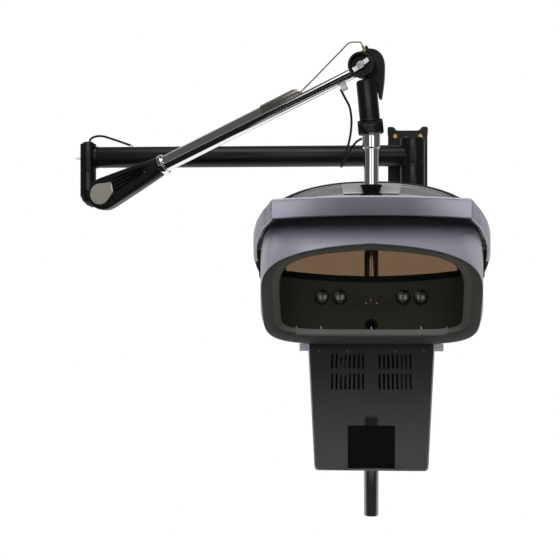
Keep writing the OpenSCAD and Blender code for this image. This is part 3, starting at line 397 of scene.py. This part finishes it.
# %% Hood sections
hood_half, mouth_top, mouth_reach, mouth_foot, rim_t, shell_t = 225, 208, 330, 130, 14, 3
crest, seam_y, cover_corner, mouth_gap = 354, -100, 4.5, 0.2
cover_table = [(seam_y, 118, 278, 236, 5), (-60, 150, 297, 237, 4.2), (0, 180, 323, 239, 3.2),
               (32, 205, 346, 240, 2.5), (52, 214, crest, 240, 2.5), (72, 210, 349, 238, 2.5),
               (96, 195, 326, 228, 2.5), (108, 180, 294, 219, 2.6), (112, 170, 270, 209, 2.6)]

def oval(half, level, top, foot, shoulder, corner, crown=0.0, count=144):
    out = []
    for a in circle(count):
        u, v = math.cos(a), math.sin(a)
        e, h = 2 / (shoulder if v >= 0 else corner), level - foot
        if v >= 0:
            h = (top - level) * (1 - crown * abs(u) ** (1.3 * e))
        out.append((half * math.copysign(abs(u) ** e, u), level + h * math.copysign(abs(v) ** e, v)))
    return out

def section(table, y):
    for a, b in zip(table, table[1:]):
        if y <= b[0]:
            break
    t = min(max((y - a[0]) / (b[0] - a[0]), 0), 1)
    return [first + (last - first) * t for first, last in zip(a[1:], b[1:])]

def cover_ring(y, t=0.0):
    level, top, half, shoulder = section(cover_table, y)
    return oval(half - t, level, top - t, t, shoulder, cover_corner)

def mouth_outline(t):
    return oval(hood_half - t, 84, mouth_top - t, t, 3.9, 5, 0.2)

lean = math.atan2(mouth_reach - mouth_foot, mouth_top)

def mouth_y(z, depth):
    return -mouth_reach + (depth + (mouth_top - z) * math.sin(lean)) / math.cos(lean)

print("mouth leans", round(math.degrees(lean), 1), "degrees")

# %% [markdown]
# The purple-grey hood is one moulded bell, 3 mm thick. It starts at the rim's own outline on
# the leaning mouth plane and ends at the upright seam of the rear cover. Each column of points
# runs straight back and rises early, so the bell is full behind the rim, and then the columns
# come back on the inside, so that the wall is closed all round.

# %% Hood bell
bell_steps, early_rise = 24, 0.98

def bell_row(t, u):
    rise, row = u + early_rise * u * (1 - u), []
    for (x0, z0), (x1, z1) in zip(mouth_outline(t), cover_ring(seam_y, t)):
        y0 = mouth_y(z0, rim_t + mouth_gap)
        row.append((x0 + (x1 - x0) * u, y0 + (seam_y - y0) * u, z0 + (z1 - z0) * rise))
    return row

def hood_bell():
    shares = [k / bell_steps for k in range(bell_steps + 1)]
    rows = [bell_row(0, u) for u in shares] + [bell_row(shell_t, u) for u in reversed(shares)]
    return rows_piece("hood_bell", rows, at_floor, bell_pearl_painted_shade, loop=True)

hood_bell_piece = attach(hood_bell(), "steamer")
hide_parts("hood_shell")
print("hood bell points", len(hood_bell_piece.data.vertices))

# %% [markdown]
# The dark rim frames the mouth. Its front is flat and lies in the leaning plane, and its
# edges are rounded where the client's hair may touch them. A crease runs round it: outside it
# the face is flat, inside it a bevel goes back to the opening. Each span names the two
# outlines that a row lies between, its share of the way from one to the other, and its depth.

# %% Mouth rim
open_half, open_level, open_top, open_foot, open_corner, open_depth = 187.4, 70, 195, 32, 5.3, 9.2
crease_half, crease_level, crease_top, crease_foot, crease_corner = 203, 78, 201.5, 21.5, 5.2

def opening(t):
    return oval(open_half + t, open_level, open_top + t, open_foot - t, 5.4, open_corner, 0.15)

def mouth_crease():
    return oval(crease_half, crease_level, crease_top, crease_foot, 4.8, crease_corner, 0.17)

def lip_row(first, last, share, depth):
    row = [(a[0] + (b[0] - a[0]) * share, a[1] + (b[1] - a[1]) * share) for a, b in zip(first, last)]
    return [(x, mouth_y(z, depth), z) for x, z in row]

def mouth_rim():
    outer, crease, inner = mouth_outline(0), mouth_crease(), opening(0)
    spans = [(outer, outer, 0, rim_t), (outer, outer, 0, 5), (outer, crease, 0.02, 2.5),
             (outer, crease, 0.07, 0.7), (outer, crease, 0.16, 0), (outer, crease, 0.6, 0),
             (outer, crease, 0.97, 0), (crease, inner, 0.05, 0.5), (crease, inner, 0.55, 4.5),
             (crease, inner, 0.93, 8), (crease, inner, 1, open_depth), (crease, inner, 1, rim_t)]
    rows = [lip_row(*span) for span in spans]
    return rows_piece("mouth_frame", rows, at_floor, rim_grey, loop=True, angle=30)

mouth_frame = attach(mouth_rim(), "steamer")
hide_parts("mouth_rim")
print("rim points", len(mouth_frame.data.vertices))

# %% [markdown]
# The lower lip has a sill in a lighter moulding, a painted highlight where the lip catches the
# light. Its bevel is olive and lighter than the rim, painted light all round the opening, and
# five small pins stand behind the sill.

# %% Sill and pins
sill_half, sill_steps, sill_lift = 158, 40, 0.5

def lower_edge(half, level, foot, corner, x):
    u = (abs(x) / half) ** (corner / 2)
    return level - (level - foot) * (1 - u * u) ** (1 / corner)

def sill():
    rows = []
    for s in (-0.35, 0, 0.3, 0.5, 0.8, 0.97):
        row = []
        for k in range(sill_steps + 1):
            x = sill_half * (2 * k / sill_steps - 1)
            near = lower_edge(crease_half, crease_level, crease_foot, crease_corner, x)
            far = lower_edge(open_half, open_level, open_foot, open_corner, x)
            z = near + (far - near) * s
            row.append((x, mouth_y(z, max(open_depth * s, 0) - 0.6) - sill_lift, z + sill_lift))
        rows.append(row)
    return sheet_piece("lip_sill_painted_highlight", rows, at_floor, sill_painted_highlight)

def lip_bevel_painted_light():
    steps = ((0.06, 0.1), (0.5, 3.9), (0.94, 7.9))
    rows = [lip_row(mouth_crease(), opening(0), share, depth) for share, depth in steps]
    return rows_piece("lip_bevel_painted_light", rows, at_floor, bevel_olive_painted_light)

pin_y, pin_foot, pin_top, pin_r = mouth_y(open_foot, 12), 30, 38, 0.8
floor_pins = [pin("floor_pin_%d" % k, (x, pin_y, pin_foot), (x, pin_y, pin_top), pin_r, at_floor,
                  bright_steel) for k, x in enumerate((-157, -105, 0, 104, 157))]
for piece in [sill(), lip_bevel_painted_light()] + floor_pins:
    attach(piece, "steamer")
print("pins", len(floor_pins))

# %% [markdown]
# Behind the rim a liner widens a little towards the inner wall. It is what one sees at the
# sides and the floor of the mouth, so it gets its own lighter moulding.

# %% Liner
liner_steps, liner_y, wall_y, liner_inset = 12, -60.2, -60, 0.5

def liner_row(front, back, share):
    row = []
    for f, b in zip(front, back):
        y0 = mouth_y(f[1], rim_t + mouth_gap)
        y = y0 + (liner_y - y0) * share
        s = min(max((y + mouth_reach) / (mouth_reach + wall_y), 0), 1)
        row.append((f[0] + (b[0] - f[0]) * s, y, f[1] + (b[1] - f[1]) * s))
    return row

def liner():
    shares = [k / liner_steps for k in range(liner_steps + 1)]
    rows = [liner_row(opening(liner_inset), opening(9), s) for s in shares]
    rows += [liner_row(opening(liner_inset + shell_t), opening(9 + shell_t), s) for s in reversed(shares)]
    return rows_piece("inner_liner", rows, at_floor, liner_grey, loop=True)

inner_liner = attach(liner(), "steamer")
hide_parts("hood_liner")
print("liner points", len(inner_liner.data.vertices))

# %% [markdown]
# The rear cover carries the bell's line on over a crest and closes behind it. It has a
# window at the rear and a hole for the pole. They and the hollow inside are cut with
# booleans, which are simplest where a hole has nothing to do with the grid.

# %% Rear cover
def cover_loft(name, t, y0, y1, steps):
    ys = {y0 + (y1 - y0) * k / steps for k in range(steps + 1)}
    ys |= {row[0] for row in cover_table if y0 < row[0] < y1}
    rows = [at_depth(cover_ring(y, t), y) for y in sorted(ys)]
    return rows_piece(name, rows, at_floor, cover_grey_painted_shade, cap=True)

def cut(piece, *cutters):
    for c in cutters:
        knife = piece.modifiers.new("cut", "BOOLEAN")
        knife.operation, knife.solver, knife.object = "DIFFERENCE", "EXACT", c
    bpy.context.view_layer.update()
    evaluated = piece.evaluated_get(bpy.context.evaluated_depsgraph_get())
    made = bpy.data.meshes.new_from_object(evaluated)
    piece.modifiers.clear()
    piece.data = made
    for c in cutters:
        bpy.data.objects.remove(c)
    finish_edges(piece)
    return piece

def rear_shell():
    shell = cover_loft("rear_shell", 0, seam_y + 0.2, 112, 26)
    hollow = cover_loft("hollow", shell_t, seam_y - 5, 112 - shell_t, 24)
    window = prism("window cut", oval(194, 160, 256, 66, 2.6, 3.5), 52, 132, at_floor, cover_grey_painted_shade)
    hole = turned("hole", [(24.1, crest - 70), (24.1, crest + 30)], at_floor, cover_grey_painted_shade, cap=True)
    return cut(shell, hollow, window, hole)

rear_shell_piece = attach(rear_shell(), "steamer")
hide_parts("rear_cover")
print("rear cover points", len(rear_shell_piece.data.vertices))

# %% [markdown]
# The pole stands on a light tongue in the middle of the cover. A black tube under its front
# edge is the painted shadow of the gap there. Left and right of it a darker sheet is painted
# shade that makes the cover look sunk, below a thin dark line along the crest. All of them
# follow the cover's own height at each point.

# %% Crest tongue
def cover_z(x, y, lift):
    level, top, half, shoulder = section(cover_table, y)
    e = 2 / shoulder
    u = min(1, (abs(x) / half) ** (1 / e))
    return level + (top - level) * (1 - u * u) ** (e / 2) + lift

def crest_sheet(name, rows, steps, lift, material, side=1):
    strips = []
    for y, x0, x1, extra in rows:
        xs = [x0 + (x1 - x0) * k / steps for k in range(steps + 1)]
        strips.append([(side * x, y, cover_z(x, y, lift + extra)) for x in xs])
    return sheet_piece(name, strips, at_floor, material)

# Painted shade: a darker sheet on each side of the tongue.
def recess(side):
    rows = [(y, start, 188, 0) for y, start in ((2, 62), (14, 63.5), (26, 65), (37, 67.5))]
    return crest_sheet("recess_%d" % (side + 2), rows, 24, 0.35, recess_painted_shade, side)

def crest_line(name, x0, x1, y, lift, radius, side=1):
    path = [Vector((side * x, y, cover_z(x, y, lift))) for x in range(x0, x1, 4)]
    return tube(name, path, radius, at_floor, seal_black)

tongue_rows = [(y, -wide, wide, rise) for y, wide, rise in (
    (2.5, 60, -0.5), (2.5, 60, 1.2), (3.5, 61, 1.9), (14, 62, 2), (26, 64, 2), (38, 67, 1.6),
    (47, 70, 0.2))]
crest_parts = [crest_sheet("crest_tongue", tongue_rows, 40, 0, cover_grey_painted_shade), recess(-1), recess(1)]
# Painted shadow: a black tube under the tongue's front edge.
crest_parts.append(crest_line("tongue_painted_shadow", -60, 61, 1, 0.2, 1.7))
crest_parts += [crest_line("recess_line_%d" % (side + 2), 68, 196, 37.5, 0.3, 0.7, side)
                for side in (-1, 1)]
for piece in crest_parts:
    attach(piece, "steamer")
print("crest parts", len(crest_parts))

# %% [markdown]
# Where the pole enters the cover a rubber foot closes the gap, a cone between two rings. The
# pole's lower end comes out under the box as a steel tail with a rounded edge.

# %% Pole foot and tail
pole_r, foot_r, bore_r, axis_r = 15.9, 23.8, 16.1, 0.01
pole_foot = turned("pole_foot", [
    (bore_r, 318), (foot_r, 318), (foot_r, 324.5), (17.6, 325.5), (18, 329), (22.4, 340), (foot_r, 341),
    (foot_r, 343.6), (23.2, 344.2), (bore_r, 344.2)], at_floor, seal_black, loop=True)
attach(pole_foot, "steamer")
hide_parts("pole_collar")
tail = turned("tail_end", [(axis_r, -382), (12.6, -382), (14.8, -381), (pole_r, -378.6), (pole_r, -268.2),
                           (axis_r, -268.2)], at_floor, tail_steel)
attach(tail, "steamer")
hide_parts("pole_tip")
print("foot and tail", pole_foot.name, tail.name)

# %% [markdown]
# A black frame stands round the rear cover like a hoop. Only its edge shows from the front:
# a thin dark line over the crest and a sliver at each side. The side brackets that carry
# the band sit on it.

# %% Rear hoop
hoop_wide, hoop_rise, cover_lap = 39, 1.8, 0.35

def hoop_outline(t):
    return oval(hood_half + hoop_wide + t, 214, crest + hoop_rise + t, 70 - t, 2.32, 2.5)

def hoop():
    steps = ((46, -4), (47, -1.2), (49.5, 0), (62, 0), (66, -1.4), (68, -4))
    rows = [at_depth(hoop_outline(t), y) for y, t in steps]
    rows += [at_depth(cover_ring(y, -cover_lap), y) for y in (68, 60, 52, 46)]
    return rows_piece("rear_hoop", rows, at_floor, frame_black, loop=True)

rear_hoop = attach(hoop(), "steamer")
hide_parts("rear_frame")
print("hoop points", len(rear_hoop.data.vertices))

# %% [markdown]
# The handle band wraps the hood: a flat front with a crisp crease at each corner, and two
# arms that sweep back and down to the brackets. One rounded strip section is carried along
# the plan line. Its two heights at each step come from a table of the side view.

# %% Handle band
band_plan = [(205, -200), (217, -175), (229, -150), (245, -105), (254, -65), (255, -20)]
band_side = [(-200, 260, 302), (-150, 242, 280), (-105, 218, 260), (-65, 194, 234), (-35, 176, 210),
             (-24, 176, 203), (-18, 181, 198)]
band_y, crease_x, bend_x, band_thick, band_arch, edge_r = -200, 204.4, 206, 10.0, 7, 3.2

def band_section(low, high):
    out, r = [], edge_r
    for centre_u, centre_v, start in ((r, low + r, 180), (band_thick - r, low + r, 270),
                                      (band_thick - r, high - r, 0), (r, high - r, 90)):
        for k in range(5):
            a = math.radians(start + 22.5 * k)
            out.append((centre_u + r * math.cos(a), centre_v + r * math.sin(a)))
    return out

def band_path():
    arm = [p for p in eased([(x, y, 0) for x, y in band_plan], 10) if p.y > band_y + 0.6]
    front = [Vector((crease_x * (k / 20 - 1), band_y, 0)) for k in range(41)]
    return [Vector((-p.x, p.y, 0)) for p in reversed(arm)] + front + arm

def band_outward(path, i):
    p = path[i]
    if p.y == band_y:
        at_crease = abs(abs(p.x) - crease_x) < 0.01
        return Vector((math.copysign(0.42, p.x), -0.9, 0)) if at_crease else Vector((0, -1, 0))
    a, b = path[max(i - 1, 0)], path[min(i + 1, len(path) - 1)]
    if abs(p.x) < bend_x:
        a, b = (p, b) if p.x > 0 else (a, p)
    d = (b - a).normalized()
    return Vector((d.y, -d.x, 0))

def band():
    path, rows = band_path(), []
    for i, p in enumerate(path):
        out = band_outward(path, i)
        arch = band_arch * (1 - (p.x / band_plan[0][0]) ** 2) if p.y == band_y else 0
        low, high = (level + arch for level in section(band_side, p.y))
        rows.append([tuple(p - out * u + Vector((0, 0, v))) for u, v in band_section(low, high)])
    return rows_piece("wrap_band", rows, at_floor, pearl, cap=True, angle=24)

wrap_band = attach(band(), "steamer")
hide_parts("handle_band")
print("band points", len(wrap_band.data.vertices))

# %% [markdown]
# The socket is a casting that tapers from the tilt pivot to the ferrule. Four grooves run
# along its face, with ribs between them, and close in on the tube. A loft of rounded sections
# gives the body, and its front points are moved inwards where a groove passes.

# %% Ribbed socket
socket_r, socket_x, taper_start, taper, end_x = 38, 3, 7, 16 / 153, 159.6
groove_start, groove_end, groove_half, groove_deep = 30, 146, 2.1, 3.4
groove_levels, groove_middle = (-17, -7, 3, 13), 7

def socket_half_height(x):
    if x < taper_start:
        return math.sqrt(max(socket_r ** 2 - (x - socket_x) ** 2, 4))
    return socket_r - (x - taper_start) * taper

def groove_depth(x, z):
    if not groove_start < x < groove_end:
        return 0
    ease = min((x - groove_start) / 8, (groove_end - x) / 30, 1)
    close_in = 1 - (x - groove_start) / 150
    away = min(abs(z - groove_middle - k * close_in) for k in groove_levels)
    return groove_deep * max(0, 1 - (away / groove_half) ** 2) * ease

def socket_row(x):
    h, t = socket_half_height(x), min(max(x / 150, 0), 1)
    half_y, n, row = 17.5 + 4.5 * t, 7 - 5 * t, []
    for side, count in ((-1, 130), (1, 40)):
        for i in range(count):
            c = -side * math.cos(math.pi * i / count)
            y = side * half_y * (1 - abs(c) ** n) ** (1 / n) + 0.5 * (1 - t)
            if side < 0:
                y += groove_depth(x, h * c) * min(1, 4 * (1 - abs(c)))
            row.append((x, y, h * c))
    return row

def ribbed_socket():
    xs = [-35, -34.6, -33.5, -31, -27, -21, -14, -7, 0]
    xs += [taper_start + 2.5 * k for k in range(61)] + [end_x]
    rows = [socket_row(x) for x in xs]
    return rows_piece("ribbed_socket", rows, at_lift, socket_black, cap=True, angle=40)

socket_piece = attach(ribbed_socket(), "lift_arm")
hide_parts("cast_socket")
print("socket points", len(socket_piece.data.vertices))

# %% [markdown]
# Four nozzles blow mist through smoky domes. Each is a turned lens on a narrower foot. Its
# skin is dark with four soft spots of painted reflection, standing in for the mouth round it
# that a lens mirrors.
# The three small lamps between the domes and the round outlet below stay as the CAD has them.

# %% Nozzle domes
lens_dark = (0.02, 0.02, 0.021)
# Painted reflections: soft lighter spots, one of them warm, on the dark lens skin.
painted_lens_reflections = (((0.5, 0.45), 0.5, (0.07, 0.07, 0.07)), ((0.52, 0.36), 0.26, (0.2, 0.15, 0.08)),
              ((0.3, 0.72), 0.3, (0.2, 0.2, 0.215)), ((0.72, 0.66), 0.22, (0.14, 0.14, 0.15)))

def painted_lens_skin():
    made, nodes, links, shader = new_material(
        "smoky lens", Base_Color=(0.05, 0.052, 0.055, 1), Roughness=0.16, Coat_Weight=0.6)
    flat = nodes.new("ShaderNodeVectorMath")
    flat.operation = "MULTIPLY"
    flat.inputs[1].default_value = (1, 0, 1)
    links.new(nodes.new("ShaderNodeTexCoord").outputs["Generated"], flat.inputs[0])
    colour = None
    for (x, z), reach, tone in painted_lens_reflections:
        away = nodes.new("ShaderNodeVectorMath")
        away.operation = "DISTANCE"
        links.new(flat.outputs["Vector"], away.inputs[0])
        away.inputs[1].default_value = (x, 0, z)
        share = ramp(nodes, links, away.outputs["Value"], 1.0, 0.0, reach * 0.3, reach)
        mix = mix_tones(nodes, links, share, lens_dark, tone)
        if colour:
            links.new(colour, mix.inputs[6])
        colour = mix.outputs[2]
    links.new(colour, shader.inputs["Base Color"])
    return made

smoky_lens = painted_lens_skin()
dome_r, dome_rise, dome_foot, dome_y, dome_z = 16, 7, 3, -60, 98

def dome(x, k):
    axes = at_floor @ move(x, dome_y, dome_z) @ turn(90, "X")
    profile = [(axis_r, dome_foot + dome_rise)]
    profile += [(dome_r * math.sin(a), dome_foot + dome_rise * math.cos(a)) for a in circle(48)[1:13]]
    profile += [(dome_r, 1.5), (15.4, 0.3), (13.9, 0.3), (13.9, -3.9), (axis_r, -3.9)]
    return turned("nozzle_dome_%d" % k, profile, axes, smoky_lens, sides=48)

domes = [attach(dome(x, k), "steamer") for k, x in enumerate((-106, -68, 68, 106))]
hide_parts("nozzle_domes")
print("domes", len(domes))

# %% [markdown]
# The head hangs from the boss on a round tube that leans a little, with a comma-shaped cheek
# behind it. Its collar is knurled: the ring's radius changes by 0.8 mm from point to point.
# The cap of the tilt pivot is a round plate drawn out to two corners. A thin bright steel rod
# along its right edge is a painted highlight.

# %% Carrier, collar and knuckle cap
carrier_at = at_head @ move(17, pole_back, -121) @ turn(-5.6, "Y")
carrier_r, collar_r, teeth, tooth_deep = 22.4, 28, 72, 0.8
carrier_tube = turned("carrier_tube", [
    (axis_r, 0.3), (carrier_r, 0.3), (carrier_r, 84), (21.4, 87), (19, 88.5), (axis_r, 88.5)],
    carrier_at, cast_black, sides=96)
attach(carrier_tube, "head")
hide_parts("head_carrier")
comma = [(-12, 30), (-2, 37), (12, 39.5), (27, 36), (37, 28), (43.5, 16), (46, 2), (46, -16), (45, -34),
         (42.5, -54), (40, -71), (37.5, -75), (34.5, -72), (31, -58), (26, -44), (18, -34), (0, -30),
         (-14, -20), (-20, 0), (-18, 18)]
comma_curve = [(p.x, p.y) for p in eased([(x, z, 0) for x, z in comma + comma[:1]], 4)[:-1]]
cheek = prism("carrier_cheek", comma_curve, 15.3, 27.3, at_head, cast_black, soft=2.2, angle=40)
finger = prism("carrier_finger", [(1.5, 24), (10.5, 24), (10.5, 39), (7, 46), (3.5, 46), (1.5, 40)],
               15.5, 21.3, at_head, cast_black, soft=1.2, angle=40)
crank = pin("crank_pin", (6, -4, 32.65), (6, 16, 32.65), 1.5, at_head, plain_steel)
for piece in (cheek, finger, crank):
    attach(piece, "head")

def knurled_row(r, z, cut_in):
    radii, row = (r, r - cut_in * tooth_deep), []
    for i, a in enumerate(circle(2 * teeth)):
        row.append((radii[i % 2] * math.cos(a), radii[i % 2] * math.sin(a), z))
    return row

collar_profile = [(22.6, -0.2, 0), (27.2, -0.2, 0), (collar_r, -1, 0), (collar_r, -4.4, 0), (27.2, -5, 0),
                  (27.4, -6, 1), (collar_r, -7, 1), (collar_r, -28.5, 1), (27, -30, 0), (22.6, -30, 0)]
collar_rows = [knurled_row(*step) for step in collar_profile]
collar = rows_piece("knurled_collar", collar_rows, carrier_at, cast_black, loop=True, angle=60)
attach(collar, "head")
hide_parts("carrier_collar")

cap_r, cap_face, cap_back = 24.3, -25, -19
cap_arc = [math.radians(a) for a in range(66, 300, 6)]
cap_line = [(cap_r * math.cos(a), cap_r * math.sin(a)) for a in cap_arc]
cap_line += [(31, -10.8), (32.6, -9.2), (36.8, 10.6), (36.4, 13), (34.8, 14.2)]
knuckle_cover = prism("knuckle_cover", cap_line, cap_face, cap_back, at_lift, nickel, soft=0.9, angle=40)
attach(knuckle_cover, "lift_arm")
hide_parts("knuckle_cap")
# Painted highlight: a bright steel rod along the cap's right edge.
cap_edge_painted_highlight = pin("cap_edge_painted_highlight", (32.6, -24.7, -8.6), (36.2, -24.7, 9.8), 0.9, at_lift, bright_steel)
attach(cap_edge_painted_highlight, "lift_arm")
print("head pieces", carrier_tube.name, cheek.name, collar.name, knuckle_cover.name)

# %% [markdown]
# The wall plate's lugs look like two pricked ears: the outer edge leans out and the inner one
# slopes down to the plate. A small steel pin closes the hole in the elbow's post.

# %% Wall ears and side pin
ear = [(24, 74), (24, 83.4), (29, 85.2), (34, 88), (39, 91.2), (43, 92.6), (46.5, 91.6), (48.2, 88),
       (48.2, 80), (47.2, 68)]
for side in (-1, 1):
    piece = prism("wall_ear_%d" % (side + 2), [(side * x, z) for x, z in ear[::side]], -12.5, -1,
                  at_wall, cast_black, soft=1.4, angle=40)
    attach(piece, "wall_mount")
side_pin = pin("side_pin", (elbow_at.x - 28.6, elbow_at.y, 15), (elbow_at.x - 19, elbow_at.y, 15), 2.9,
               at_wall, bright_steel)
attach(side_pin, "wall_arm")
print("last ear", piece.name, "and", side_pin.name)

# %% [markdown]
# The remaining CAD nodes have the right shape. Each gets its own finish and, where it is a
# casting or a moulding, a small soft edge that catches light as real edges do.

# %% Finishes on the CAD nodes
by_node = {
    "wall_bracket": (cast_black, 1.2), "wall_screws": (yellow_zinc, 0.3), "pivot_spindle": (plain_steel, 0),
    "pivot_sleeve": (cast_black, 0.8), "sleeve_cap": (cast_black, 0.4), "arm_tube": (tube_black, 0.2),
    "elbow_post": (cast_black, 0.6), "elbow_cap": (cast_black, 0.3), "elbow_grommets": (pale_moulding, 0.2),
    "elbow_knuckle": (cast_black, 0.8), "elbow_spindle": (plain_steel, 0), "tilt_pin": (plain_steel, 0.3),
    "ferrule": (chrome, 0.3), "lift_tube": (chrome, 0), "saddle": (saddle_steel, 0.4),
    "balance_spring": (cast_alloy, 0), "head_boss": (cast_black, 0.8), "lead_clip": (pale_moulding, 0.2),
    "link_rod": (brown_steel, 0), "rod_eye": (brown_steel, 0.3), "head_bolt": (plain_steel, 0.3),
    "lever_plate": (bright_steel, 0.3), "pole_sleeve": (chrome, 0.4), "pole": (chrome, 0),
    "band_brackets": (frame_black, 0.6), "inner_wall": (wall_dark, 0.2), "sight_window": (brown_clear, 0),
    "rear_window": (brown_clear, 0), "window_seal": (seal_black, 0.2), "indicator_lenses": (amber, 0.2),
    "steam_outlet": (seal_black, 0.4), "box_housing": (pearl, 0.5), "front_panel": (panel_black_painted_shade, 0.4),
    "panel_screws": (dark_steel, 0.2), "water_tank": (tank_skin, 0.3), "heater": (cast_alloy, 0.4),
    "blower": (inner_black, 0.5), "pole_clamp": (cast_alloy, 0.4), "control_board": (board_green, 0),
    "control_panel": (inner_black, 0.5), "hatch_cover": (hatch_black, 0.4), "hatch_latch": (olive_tab, 0),
    "timer_dial": (knob_grey, 0.6), "start_button": (start_green, 0), "stop_button": (stop_red, 0)}

def dress_node(name, material, soft):
    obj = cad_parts[name]
    obj.data.materials.clear()
    obj.data.materials.append(material)
    if soft:
        obj.modifiers.new("weld", "WELD").merge_threshold = 1e-6
        soft_bevel(obj, soft, 34)

for name, (material, soft) in by_node.items():
    dress_node(name, material, soft)
print("nodes dressed", len(by_node))

# %% [markdown]
# The studio is plain: a pale floor well below and a white backdrop far behind. Boards that
# only mirrors see give chrome its lines: a black one behind the lens with a pale one on each
# side, and two that lie just above the floor.

# %% Studio
floor_level, board_level, lens_y, split_y, back_y, half_room = -1.7, -1.66, -3.4, -0.25, 6, 9

def stage_surface(name, tone, seen=None, mirrored=0.0):
    made, nodes, links, shader = new_material(name, Base_Color=(tone, tone, tone, 1), Roughness=0.9)
    if seen is not None:
        ray = nodes.new("ShaderNodeLightPath").outputs
        behind = combine(nodes, links, "MAXIMUM", ray["Is Camera Ray"], ray["Is Transmission Ray"])
        either = combine(nodes, links, "MAXIMUM", behind, ray["Is Glossy Ray"])
        glow = nodes.new("ShaderNodeEmission")
        links.new(ramp(nodes, links, behind, mirrored, seen), glow.inputs["Strength"])
        mix_skins(nodes, links, either, shader.outputs["BSDF"], glow.outputs["Emission"])
    return made

def stage_sheet(name, corners, material, only_mirrored=False):
    mesh = bpy.data.meshes.new(name)
    mesh.from_pydata(corners, [], [(0, 1, 2, 3)])
    mesh.materials.append(material)
    obj = link(name, mesh)
    if only_mirrored:
        obj.visible_camera = obj.visible_diffuse = obj.visible_shadow = obj.visible_transmission = False

def level_sheet(name, x0, x1, y0, y1, z, material, **more):
    stage_sheet(name, [(x0, y0, z), (x1, y0, z), (x1, y1, z), (x0, y1, z)], material, **more)

def upright_sheet(name, x0, x1, z0, z1, y, material, **more):
    stage_sheet(name, [(x0, y, z0), (x1, y, z0), (x1, y, z1), (x0, y, z1)], material, **more)

level_sheet("floor", -half_room, half_room, -half_room, back_y, floor_level,
            stage_surface("pale floor", 0.75, 1.0, 0.4))
upright_sheet("backdrop", -half_room, half_room, floor_level, 8, back_y,
              stage_surface("white ground", 0.82, 1.0, 0.5))
black_board = stage_surface("black board", 0.004)
white_board = stage_surface("white board", 0.8, 1.0, 1.1)
pale_board = stage_surface("pale board", 0.5, 1.0, 1.5)
level_sheet("front board", -6, 6, -6, split_y, board_level, black_board, only_mirrored=True)
level_sheet("rear board", -6, 6, split_y, back_y - 0.1, board_level, white_board, only_mirrored=True)
upright_sheet("lens board", -0.37, 0.2, -1.6, 0.5, lens_y, black_board, only_mirrored=True)
upright_sheet("left board", -1.5, -0.37, -1.2, 0.6, lens_y, pale_board, only_mirrored=True)
upright_sheet("right board", 0.2, 2.0, -1.2, 0.6, lens_y, pale_board, only_mirrored=True)

# %% [markdown]
# Two tall lamps stand at the sides, because the real lacquer is bright at its left and right
# and dark in the middle. One hangs above, and a weaker one over the camera fills the front.
# The light of the room itself is white and even, and weaker in mirrors, so that chrome stays
# dark where no board stands. The side lamps are hidden from mirrors too, because a small
# bright lamp would draw zigzags along the facets of a chrome tube.

# %% Lamps
room_light, room_light_mirrored = 0.38, 0.1
world = bpy.data.worlds.new("studio")
bpy.context.scene.world = world
world.use_nodes = True
nodes, links = world.node_tree.nodes, world.node_tree.links
sky = nodes["Background"]
sky.inputs["Color"].default_value = (1, 1, 1, 1)
ray = nodes.new("ShaderNodeLightPath").outputs
soft_level = ramp(nodes, links, ray["Is Glossy Ray"], room_light, room_light_mirrored)
links.new(combine(nodes, links, "MAXIMUM", soft_level, ray["Is Camera Ray"]), sky.inputs["Strength"])

def lamp(name, at, aim, size, power, mirrored=True):
    light = bpy.data.lights.new(name, "AREA")
    light.shape, light.size, light.size_y, light.energy = "RECTANGLE", size[0], size[1], power
    obj = link(name, light)
    obj.location = at
    obj.visible_glossy = mirrored
    obj.rotation_euler = (Vector(aim) - Vector(at)).to_track_quat("-Z", "Y").to_euler()

lamp("left lamp", (-2.6, -1.3, 0.4), (-0.2, -0.3, -0.2), (0.9, 2.4), 42, mirrored=False)
lamp("right lamp", (2.4, -1.3, 0.4), (-0.1, -0.3, -0.2), (0.9, 2.4), 42, mirrored=False)
lamp("top lamp", (-0.3, -0.9, 2.2), (-0.1, -0.3, 0), (2.4, 1.2), 36)
lamp("front lamp", (-0.3, -3.3, 1.3), (-0.3, -0.2, -0.1), (2.8, 0.5), 22)
bpy.context.scene.view_settings.view_transform = "Standard"
print("lamps", len(bpy.data.lights))
